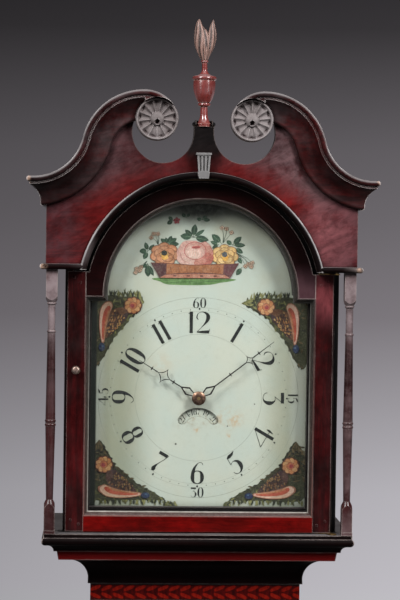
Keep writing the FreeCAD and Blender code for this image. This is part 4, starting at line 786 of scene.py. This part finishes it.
def corner(art, side, top):
    """Leaves, a rosette, a scaled pod, a striped petal and a bud that fill one corner of the dial."""
    edge = 166
    fold, squeeze = 68, 0.4
    base = ARCH_Z - 1 if top else DIAL_Z - 162.5
    shade = 1 if top else 0.85
    gleam = 1 if top else 0.55
    greens = [(0.15, 0.155, 0.055), (0.022, 0.028, 0.014), (0.24, 0.24, 0.09), (0.075, 0.085, 0.032)]
    browns = [(0.1, 0.075, 0.032), (0.02, 0.019, 0.011), (0.17, 0.125, 0.06), (0.05, 0.052, 0.024)]
    flecks = [(0.5, 0.31, 0.13), (0.06, 0.024, 0.02), (0.36, 0.17, 0.065), (0.05, 0.022, 0.026)]
    art.count = 0

    def at(p, q):
        """Turns places that are measured in an upper left corner into places on the dial."""
        if top and side > 0 and p > fold:
            p = fold + squeeze * (p - fold)
        u, v = (p, q) if top else (q + 9 * min(1, max(0, q / 12)), p - 5)
        x = side * (-edge + max(u, 1))
        if top:
            return x, base - (v if u > 24 else max(v, 1))
        return x, base + max(v, -3)

    def patch(points, colour):
        art.fill([at(p, q) for p, q in smooth_line(points, 3, True)], colour)

    def blade(p, q, way, length, width, colour):
        root = at(p, q)
        tip = at(*about(p, q, length, length, radians(way)))
        dx, dz = tip[0] - root[0], tip[1] - root[1]
        art.leaf(*root, hypot(dx, dz), width, degrees(atan2(dz, dx)), colour)

    def tone(k, p):
        return scaled((greens if (p > 30) == top else browns)[scatter(k)], shade)

    # Ground and leaves
    ground = [(101, 9.5), (91, 6), (82, 3), (75, 1), (65, 0), (54, 1), (45, 1), (37, -1), (30, -1), (2, 4),
        (1, 50), (1, 98), (7, 109), (15, 102), (23, 90), (29, 78), (35, 66), (44, 55), (54, 44), (61, 33),
        (70, 27), (79, 23), (86, 18), (95, 13)]
    lowest = 1 if top else 10
    reach = 90 if top else 82
    patch([(max(p, lowest), q) for p, q in ground], scaled((0.055, 0.058, 0.026), shade))
    for k in range(120):
        t = (k * SPREAD_T) % 1
        s = (k * SPREAD_S + 0.2) % 1
        p = 94 - reach * t
        q = 4 + (10 + 92 * t ** 1.6) * s
        blade(p, q, 200 + 70 * sin(k * 2.4) - 90 * t, 8, 2.6, tone(k, p))
    fringe = [(100, 9, 190), (95, 7, 215), (89, 5, 235), (83, 3, 250), (77, 1, 258), (71, 1, 270),
        (64, 1, 262), (57, 2, 270), (50, 2, 262), (43, 1, 268), (36, 0, 275), (31, 0, 262), (93, 14, 170),
        (84, 19, 150), (75, 24, 140), (66, 29, 130), (58, 37, 135), (50, 47, 130), (41, 57, 125),
        (34, 67, 120), (28, 78, 115), (22, 90, 110), (14, 101, 105), (8, 106, 92)]
    outer_blades = 12
    for k, (p, q, way) in enumerate(fringe):
        longest = 12 if k < outer_blades else 7
        for turn in (-30, -6, 20):
            pick = 3 * k + turn
            root = about(p, q, -2, -2, radians(way + turn))
            blade(*root, way + turn, longest * (0.7 + 0.2 * scatter(pick)), 2.2, tone(pick, p))
    if not top:
        count, width = (26, 20) if side > 0 else (14, 8)
        for k in range(count):
            p = 4 + 6 * ((k * SPREAD_S) % 1)
            q = 106 + width * ((k * SPREAD_T) % 1)
            blade(p, q, 165 + 40 * sin(k * 2.4), 8, 2.2, greens[scatter(k)])
        for k in range(30):
            length = 4.5 + 1.6 * scatter(5 * k + 1)
            blade(11.5, 3 + 3.4 * k, 180 + 28 * sin(k * 2.4), length, 3, greens[scatter(k + 7)])

    # Scaled pod
    patch([(57, 25.5), (51, 18), (39.5, 19), (29, 25.5), (25.5, 39.5), (22.5, 54), (24, 65), (37.5, 52.5),
        (46.5, 44.5), (55, 34)], (0.17 * gleam, 0.075 * gleam, 0.035))
    patch([(57, 26), (51, 28), (44, 37), (34, 50), (25, 64), (37.5, 52.5), (46.5, 44.5), (55, 34)],
        (0.06, 0.026, 0.032))
    for k in range(90):
        t = (k * SPREAD_T) % 1
        s = (k * SPREAD_S + 0.1) % 1 - 0.5
        p = 45 - 19 * t + 20 * s * (1 - 0.55 * t)
        q = 28 + 30 * t + 12 * s * (1 - 0.6 * t)
        turn = side * (60 + 30 * sin(k * 1.7))
        art.oval(*at(p, q), 1.9, 1.1, scaled(flecks[scatter(k)], gleam), turn, 8)

    # Striped petal
    patch([(34, 15), (31, 9), (23, 9.5), (16, 18), (13.5, 32), (13.5, 48.5), (15.5, 62.5), (18.5, 72.5),
        (22, 70), (23.5, 58), (25.5, 44), (29, 30), (32.5, 21)], (0.34, 0.16, 0.1))
    patch([(33, 15), (30, 10.5), (23.5, 11), (17, 19), (14.7, 32), (14.7, 48), (16.5, 61), (18.6, 70),
        (21, 68), (22.5, 57), (24.5, 43), (28, 29), (31.5, 20.5)], (0.66, 0.46, 0.36))
    patch([(31, 18), (27, 15.5), (21.5, 22), (18.5, 34), (17.6, 49), (18, 60), (19.2, 67), (21, 66),
        (22.3, 56), (24.2, 43), (27.5, 30)], (0.5, 0.11, 0.065))
    patch([(30, 21), (27, 24), (23.5, 36), (21.5, 50), (20.5, 62), (21.2, 65), (22.2, 55), (24.2, 42),
        (27.5, 29)], (0.46, 0.2, 0.09))

    # Rosette and bud
    x, z = at(64.5, 14.5)
    art.oval(x, z, 14, 13.2, (0.12, 0.042, 0.024), sides=26, wave=0.03, lobes=9)
    for k in range(9):
        a = TURN * k / 9
        petal = (0.52, 0.24, 0.1) if k % 2 else (0.58, 0.34, 0.16)
        for rx, rz, tint in ((5.4, 4.5, (0.26, 0.085, 0.04)), (4.9, 3.9, petal)):
            art.oval(*about(x, z, 7.6, 7.2, a), rx, rz, tint, degrees(a), 14)
    art.oval(x, z, 6.2, 5.8, (0.24, 0.07, 0.04), sides=18)
    art.oval(x, z, 5.4, 5, (0.5, 0.18, 0.085), sides=18)
    art.oval(x - side, z - 0.6, 3.4, 3.2, (0.34, 0.055, 0.06), sides=14)
    x, z = at(18, 78)
    rx, rz = (4.8, 6.6) if top else (6.6, 4.6)
    art.oval(x, z, rx, rz, SLATE, sides=16)
    art.oval(x + side * 1.4, z + 1.4, 2.2, 1.4, (0.06, 0.11, 0.19), sides=10)


def corners():
    art = Painting(DIAL_Y)
    for side in (1, -1):
        for top in (True, False):
            corner(art, side, top)
    return art


# Carved pieces and thin trim

def rosette(name, node, side, material):
    """A carved disc: a domed boss with a pit, hollow petals between sharp ridges, and a raised rim."""
    cx, cz = side * ROSETTE[0], ROSETTE[1]
    petals, cuts = 13, 10
    around = petals * cuts
    boss, rim = 10.2, 28
    radii = [1.2, 2.4, 3.6, 4.8, 6.4, 8, 9.2, 10, 10.4, 11.2, 12, 14, 16.5, 19, 21.5, 23.5, 24.6, 25.4,
        26.6, 27.6, 28, 28.6, 29.6, 30.6, 31.2, 31.6]

    def height(r, a, u):
        if r < boss:
            pit = hypot(*about(0, 4, r, r, a))
            dome = 16.5 + 4.6 * sqrt(max(0, 1 - (r / boss) ** 2))
            return dome - 8 * max(0, 1 - (pit / 3.6) ** 4)
        if r < rim:
            t = (r - 10.4) / 17.2
            h = 14.6 + 0.6 * sin(pi * t) + 3.4 * abs(u) ** 2 * min(1, 0.45 + t)
            if 24 < r < 27.8:
                h -= 2.4 * (1 - abs(u)) ** 2 * sin(pi * (r - 24) / 3.8)
            return h
        return 19.6 - 2.2 * ((r - 29.7) / 1.9) ** 2

    verts = [(cx, FACE_Y - 20.5, cz)]
    for i, r in enumerate(radii + radii[-1:]):
        for j in range(around):
            a = TURN * (j / around + 0.25 * side / petals)
            u = 2 * ((j % cuts) / cuts) - 1
            x, z = about(cx, cz, r, r, a)
            verts.append((x, FACE_Y - (height(r, a, u) if i < len(radii) else 0), z))
    faces = [(0, 1 + j, 1 + (j + 1) % around) for j in range(around)]
    faces += band(len(radii) + 1, around, 1, flip=True)
    faces.append(tuple(len(verts) - 1 - j for j in range(around)))
    obj = solid(name, verts, faces, material, "hood")
    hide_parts(node)


def flame(material):
    """A carved flame of twisting fluted tongues, each a path of (x, z, half width, half depth)."""
    verts = []
    faces = []
    tints = []
    sides = 40
    tongues = [
        ([(0, 2257.5, 4.6, 4.6), (-1.5, 2264, 7, 6), (-3.8, 2274, 9.8, 7.6), (-5, 2286, 11.2, 8),
          (-6.2, 2298, 9.6, 6.8), (-8.6, 2308, 6.2, 5), (-9.4, 2315, 3.2, 3), (-9, 2319.6, 0.6, 0.6)],
         -1.7, 7),
        ([(0, 2257.8, 4.4, 4.4), (2.5, 2266, 6, 5.6), (6, 2277, 7.6, 6.8), (9, 2289, 7.6, 6.6),
          (10.6, 2299, 6.4, 5.6), (11, 2308, 4.4, 4), (11.6, 2314, 2.4, 2.2), (12.4, 2318.6, 0.5, 0.5)],
         1.5, 6),
        ([(0, 2258, 4, 4), (0.6, 2268, 5.8, 7), (1.2, 2280, 7.4, 8.4), (1.4, 2292, 6.2, 7),
          (1, 2300, 3.4, 4), (0.6, 2305, 0.5, 0.5)], 1.1, 6),
    ]
    for path, twist, flutes in tongues:
        rows = smooth_line(path, 5)
        base = len(verts)
        for i, (x, z, rx, ry) in enumerate(rows):
            t = i / (len(rows) - 1)
            for j in range(sides):
                a = TURN * j / sides
                wave = abs(sin(0.5 * flutes * (a + twist * t)))
                k = 1 - 0.36 * (1 - wave) ** 1.2 * sin(pi * min(1, t * 1.15 + 0.08))
                verts.append((*about(x, FINIAL_Y, rx * k, ry * k, a), z))
                # Ridges painted lighter and flutes darker: painted highlight and painted shade.
                lit = wave ** 2.2
                tints.append((0.02 + 0.26 * lit, 0.006 + 0.155 * lit, 0.005 + 0.125 * lit))
        faces += band(len(rows), sides, base)
        faces.append(tuple(base + j for j in reversed(range(sides))))
        faces.append(tuple(len(verts) - sides + j for j in range(sides)))
    obj = solid("carved_flame", verts, faces, material, "hood", tints=tints)
    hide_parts("finial_flame")


def pegs(material):
    """Dowel ends at the corners of the hood door."""
    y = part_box("hood_door_stile_left")[0].y / MM
    verts = []
    faces = []
    sides = 14
    rings = ((2.6, -0.4), (2.4, 0.12), (1.4, 0.22))
    for x, z in ((-180, 1561), (-192, 1567), (180, 1561), (192, 1567), (-181, 1924), (-191, 1931),
            (181, 1924), (191, 1931)):
        base = len(verts)
        for r, lift in rings:
            for j in range(sides):
                px, pz = about(x, z, r, r, TURN * j / sides)
                verts.append((px, y - lift, pz))
        faces += band(len(rings), sides, base)
        faces.append(tuple(len(verts) - sides + j for j in range(sides)))
    solid("door_pegs", verts, faces, material, "hood_door")


def hinge_strip(material):
    """A thin black strip on the hood's side, behind the hinge edge of the door, that stands in for the
    shade in the gap there.
    """
    low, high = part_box("hood_sides")
    width, depth = 6.5, 28
    x, y = high.x / MM, low.y / MM
    ends = (low.z / MM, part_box("arch_bead")[0].z / MM)
    outline = ((x, y), (x + width, y), (x + width, y + depth), (x, y + depth))
    verts = [(*point, z) for z in ends for point in outline]
    faces = [(3, 2, 1, 0), (4, 5, 6, 7)] + band(2, 4)
    solid("hinge_strip", verts, faces, material, "hood", smooth=False)


def glazing_bead(material):
    """A moulded bead in front of the glass, with worn fillets on both edges, painted much darker along the
    arch as painted shade under the door head.
    """
    half, low, shoulder, radius, glass_y = 173, 1573, 1903.5, 147, -73.7
    light, dark, soft = (0.3, 0.13, 0.11), (0.05, 0.012, 0.01), (0.46, 0.43, 0.39)
    section = [(0, 10.6, light), (1.3, 10.6, light), (1.6, 9.4, dark), (2.4, 8.8, dark), (3.8, 7.4, dark),
        (4.8, 5.4, dark), (5.2, 3.4, dark), (5.6, 2.8, soft), (6.8, 2.6, soft), (7, 0, dark), (0, 0, dark)]
    steps = 48
    verts = []
    tints = []
    for inset, lift, colour in section:
        r = radius - inset
        side, top, sill = half - inset, shoulder - inset, low + inset
        start = asin((top - ARCH_Z) / r)
        line = [(-side, top), (-side, sill), (side, sill), (side, top)]
        for i in range(steps + 1):
            line.append(about(0, ARCH_Z, r, r, start + (pi - 2 * start) * i / steps))
        for x, z in line:
            verts.append((x, glass_y - lift, z))
            # The arched part is painted darker: painted shade under the door head.
            tints.append(scaled(colour, 0.12 if z > top - 0.1 else 0.7))
    faces = band(len(section), steps + 5, flip=True, closed=True)
    solid("glazing_bead", verts, faces, material, "hood_door", smooth=False, tints=tints)


# Materials on the solids

def dress(material, *names):
    for name in names:
        mesh = NODES[name].data
        mesh.materials.clear()
        mesh.materials.append(material)


EDGE = (0.3, 0.25, 0.235)
CASE = {"red": (0.07, 0.004, 0.004), "dark": (0.012, 0.002, 0.002), "haze_and_sheen": 0.05, "wear": 0.55,
    "rough": 0.33, "hollow_shade_and_grime": 0.75}

ebony = wood("black_wood", "z", (0.005, 0.0045, 0.0045), (0.0025, 0.0025, 0.0025), wear=0.55, rough=0.4,
    hollow_shade_and_grime=0.7, dust_and_sheen=0.3, shine=0.2)
# The pale patch on the right stile is a painted highlight.
door_z = wood("door_wood_z", "z", (0.049, 0.003, 0.0034), (0.006, 0.0015, 0.0015), haze_and_sheen=0.04, wear=0.5,
    rough=0.32, hollow_shade_and_grime=0.5, worn=EDGE, shine=0.08, slant=86,
    pale_and_lit_patches=[(190, 1905, 8, 62, 0.7, (0.14, 0.03, 0.035))])
# The pale patch on the right rosette is a painted highlight.
carved = wood("carved_grey_wood", "x", (0.15, 0.127, 0.124), (0.085, 0.068, 0.066), haze_and_sheen=0.55, wear=1,
    rough=0.6, hollow_shade_and_grime=0.9, worn=(0.4, 0.36, 0.355), grey=(0.175, 0.155, 0.157), reach=0.011,
    hollow_shade_tint=(0.022, 0.008, 0.008), pale_and_lit_patches=[(*ROSETTE, 20, 60, 0.3, (0.26, 0.23, 0.23))])
torch = brush_paint("flame_wood", 0.06, 0.5)
ink = brush_paint("dial_ink", 0.05)
paint = brush_paint("dial_colours", 0.14, with_side_shade=True)

# The pale patch on the right of the scroll board is a painted highlight.
dress(wood("scroll_board_wood", "x", (0.088, 0.006, 0.006), (0.02, 0.004, 0.0045), haze_and_sheen=0.5, rough=0.42,
    hollow_shade_and_grime=0.65, haze_and_sheen_x=(0.75, 4.2), haze_and_sheen_z=(1.8, 2), board=True, shine=0.05, slant=-24,
    grey=(0.085, 0.047, 0.05), pale_and_lit_patches=[(190, 2000, 10, 75, 0.8, (0.16, 0.05, 0.055))]), "scroll_board")
dress(wood("neck_wood", "x", (0.046, 0.004, 0.004), (0.006, 0.0015, 0.0015), haze_and_sheen=0.6, haze_and_sheen_z=(2.07, 2.19),
    grey=(0.06, 0.048, 0.05), wear=1, hollow_shade_and_grime=0.9, worn=(0.42, 0.38, 0.37), upward_faces=(0.05, 0.6), dust_and_sheen=0.85,
    shine=0.15, slope_highlight=0.8, tips=0.254, slant=-8), "swan_neck_left", "swan_neck_right")
# The pale patches on the arch bead are painted highlights.
dress(wood("arch_bead_wood", "x", (0.006, 0.0015, 0.0015), (0.002, 0.001, 0.001), wear=1,
    worn=(0.4, 0.37, 0.36), rough=0.45, shine=0.05, slope_highlight=1, tips=0.228,
    pale_and_lit_patches=[(-180, 1973, 6, 34, 0.25, (0.16, 0.13, 0.13)), (236, 1962, 5, 32, 0.5, (0.26, 0.21, 0.2))]),
    "arch_bead")
dress(wood("moulding_wood_x", "x", (0.005, 0.0015, 0.0015), (0.002, 0.001, 0.001), wear=1, hollow_shade_and_grime=0.9,
    worn=EDGE, dust_and_sheen=0.6, rough=0.45, shine=0.05, lit_lip_base=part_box("hood_base_moulding")[0].z),
    "hood_base_moulding")
# Near black cove under the hood's ledge: painted shade.
dress(wood("cove_wood_painted_shade", "x", (0.008, 0.0015, 0.0015), (0.003, 0.001, 0.001), wear=0.4, rough=0.45,
    shine=0.04), "trunk_top_cove")
dress(ebony, "finial_collar", "dial_surround")
dress(wood("case_wood_y", "y", **CASE), "frieze_sides")
dress(door_z, "hood_door_stile_left", "hood_door_stile_right")
dress(wood("door_wood_x", "x", (0.17, 0.003, 0.0025), (0.065, 0.002, 0.0015), wear=0.35, rough=0.34,
    hollow_shade_and_grime=0.4, worn=(0.24, 0.07, 0.06), shine=0.05, slant=3), "hood_door_bottom_rail")
# Darkened door arch head: painted shade under the arch bead, with a paler patch.
dress(wood("head_wood_painted_shade", "x", (0.011, 0.0015, 0.0015), (0.004, 0.001, 0.001), wear=0.9, rough=0.4, worn=EDGE,
    shine=0.05, pale_and_lit_patches=[(160, 1915, 5, 48, 0.7, (0.075, 0.035, 0.042))]), "hood_door_arch_head")
# The pale patches at the column tops are partly wear and partly painted highlight.
dress(wood("column_wood", "z", (0.045, 0.008, 0.008), (0.013, 0.004, 0.004), haze_and_sheen=0.6, wear=0.9, rough=0.26,
    hollow_shade_and_grime=0.7, grey=(0.1, 0.06, 0.062), worn=EDGE, haze_and_sheen_x=(0.7, 1.8),
    pale_and_lit_patches=[(x, 1900, 20, 85, 1, (0.2, 0.155, 0.16)) for x in (-222, 222)]), "column_left", "column_right")
dress(wood("case_wood_z", "z", slant=87, **CASE), "hood_sides", "trunk_sides", "trunk_front_frame",
    "trunk_door_panel")
dress(wood("case_wood_x", "x", slant=3, **CASE), "base_top_moulding", "base_panels", "bracket_feet")
dress(carved, "rosette_left", "rosette_right")
dress(wood("keystone_grey", "z", (0.15, 0.142, 0.142), (0.09, 0.083, 0.083), haze_and_sheen=0.7, wear=0.8, rough=0.6,
    hollow_shade_and_grime=0.6, worn=(0.28, 0.27, 0.265), grey=(0.15, 0.148, 0.146), reach=0.008), "keystone")
dress(wood("finial_wood", "z", (0.18, 0.03, 0.026), (0.085, 0.012, 0.01), haze_and_sheen=0.16, wear=1, rough=0.2,
    hollow_shade_and_grime=0.6, worn=(0.55, 0.36, 0.31), dust_and_sheen=0.6, shine=1, grey=(0.3, 0.15, 0.14), reach=0.01),
    "finial_urn")
dress(torch, "finial_flame")
dress(bare_wood("bare_pine_z", "z"), "backboard")
dress(bare_wood("bare_pine_x", "x"), "hood_roof", "seatboard", "base_floor")
dress(metal("aged_brass", (0.6, 0.4, 0.16), (0.3, 0.19, 0.08), 0.28), "hood_door_hinges",
    "trunk_door_escutcheon", "trunk_door_hinges", "trunk_hinge_leaves", "pendulum_bob")
dress(metal("movement_brass", (0.62, 0.45, 0.2), (0.42, 0.29, 0.12), 0.25), "front_plate", "back_plate",
    "plate_pillars", "pendulum_cock", "cannon_pinion", "hour_wheel", "minute_wheel", "centre_wheel",
    "great_wheel", "third_wheel", "escape_wheel", "weight_pulley")
dress(metal("boss_bronze", (0.26, 0.16, 0.11), (0.09, 0.05, 0.035), 0.36, scale=240), "hand_collet")
dress(metal("knob_bronze", (0.4, 0.3, 0.26), (0.15, 0.1, 0.08), 0.34, scale=240), "hood_door_knob")
dress(metal("hand_black", (0.016, 0.016, 0.017), (0.035, 0.028, 0.024), 0.35, 0.4, 180), "minute_hand",
    "hour_hand")
dress(metal("bright_steel", (0.42, 0.42, 0.43), (0.26, 0.25, 0.25), 0.28), "verge", "pendulum_rod")
dress(metal("cast_iron", (0.035, 0.035, 0.036), (0.075, 0.05, 0.035), 0.55, 0.7), "driving_weight")
dress(dial_paint(), "dial_plate", "calendar_wheel")
dress(glass(), "hood_door_glass")
dress(putty(), "hood_door_putty")
dress(inlay(), "trunk_inlay_band")

# Pieces that the scene adds

chapters().make("dial_numbers", ink, "case", "dial_paint")
arch_art().make("arch_flowers", paint, "case", "dial_paint")
corners().make("corner_flowers", paint, "case", "dial_paint")
dates().make("date_numbers", ink, "calendar", "date_disc")
rosette("carved_rosette_left", "rosette_left", -1, carved)
rosette("carved_rosette_right", "rosette_right", 1, carved)
flame(torch)
pegs(door_z)
hinge_strip(ebony)
glazing_bead(brush_paint("bead_wood", 0.1))


# Floor and backdrop

def floor():
    size = 4
    mesh = bpy.data.meshes.new("studio_floor")
    square = [(-size, -size, 0), (size, -size, 0), (size, size, 0), (-size, size, 0)]
    mesh.from_pydata(square, [], [(0, 1, 2, 3)])
    obj = bpy.data.objects.new("studio_floor", mesh)
    SCENE.collection.objects.link(obj)
    mesh.materials.append(floor_paint())


def backdrop():
    """A grey backdrop that darkens upwards and to the left, with an even fill light."""
    world = bpy.data.worlds.new("studio")
    world.use_nodes = True
    SCENE.world = world
    sky = Look(world.node_tree)
    x, _, height = sky.axes(sky.add("ShaderNodeTexCoord"))
    ramp = sky.tree.nodes.new("ShaderNodeValToRGB")
    sky.tree.links.new(sky.add("ShaderNodeMapRange", height, -0.18, 0.135, 0, 1), ramp.inputs[0])
    stops = ramp.color_ramp.elements
    stops[0].color = (0.45, 0.446, 0.468, 1)
    stops[1].color = (0.025, 0.023, 0.0255, 1)
    for where, level in ((0.03, 0.44), (0.178, 0.39), (0.463, 0.172), (0.627, 0.125), (0.733, 0.102),
            (0.93, 0.033)):
        green, blue = (0.92, 1) if level < 0.3 else (0.97, 1.04)
        stops.new(where).color = (level, level * green, level * blue, 1)
    aside = sky.times(sky.calc("SUBTRACT", x, 0.052), 1.6)
    level = sky.calc("MINIMUM", sky.calc("MAXIMUM", sky.calc("ADD", 1, aside), 0.6), 1.4)
    seen = sky.add("ShaderNodeBackground", ramp.outputs[0], level)
    fill = sky.add("ShaderNodeBackground", (0.9, 0.93, 1), 0.012)
    path = sky.tree.nodes.new("ShaderNodeLightPath").outputs
    shown = sky.calc("MAXIMUM", path["Is Camera Ray"], path["Is Glossy Ray"])
    shown = sky.calc("MAXIMUM", shown, path["Is Transmission Ray"])
    sky.end("ShaderNodeOutputWorld", sky.add("ShaderNodeMixShader", shown, fill, seen))


floor()
backdrop()
for side, word, power in ((-1, "left", 17), (1, "right", 20.6)):
    softbox("softbox_" + word, (side * 1.6, -1.9, 3.6), (0, -0.1, 1.8), (0.9, 1.3), power, 75)
    softbox("strip_" + word, (side * 1.95, -2.2, 2.1), (0, -0.1, 1.9), (0.14, 1.7), 1.2, 100)
softbox("softbox_above", (0, -0.6, 3.9), (0, 0, 1.9), (2.2, 1.6), 4.5, 75)
camera()
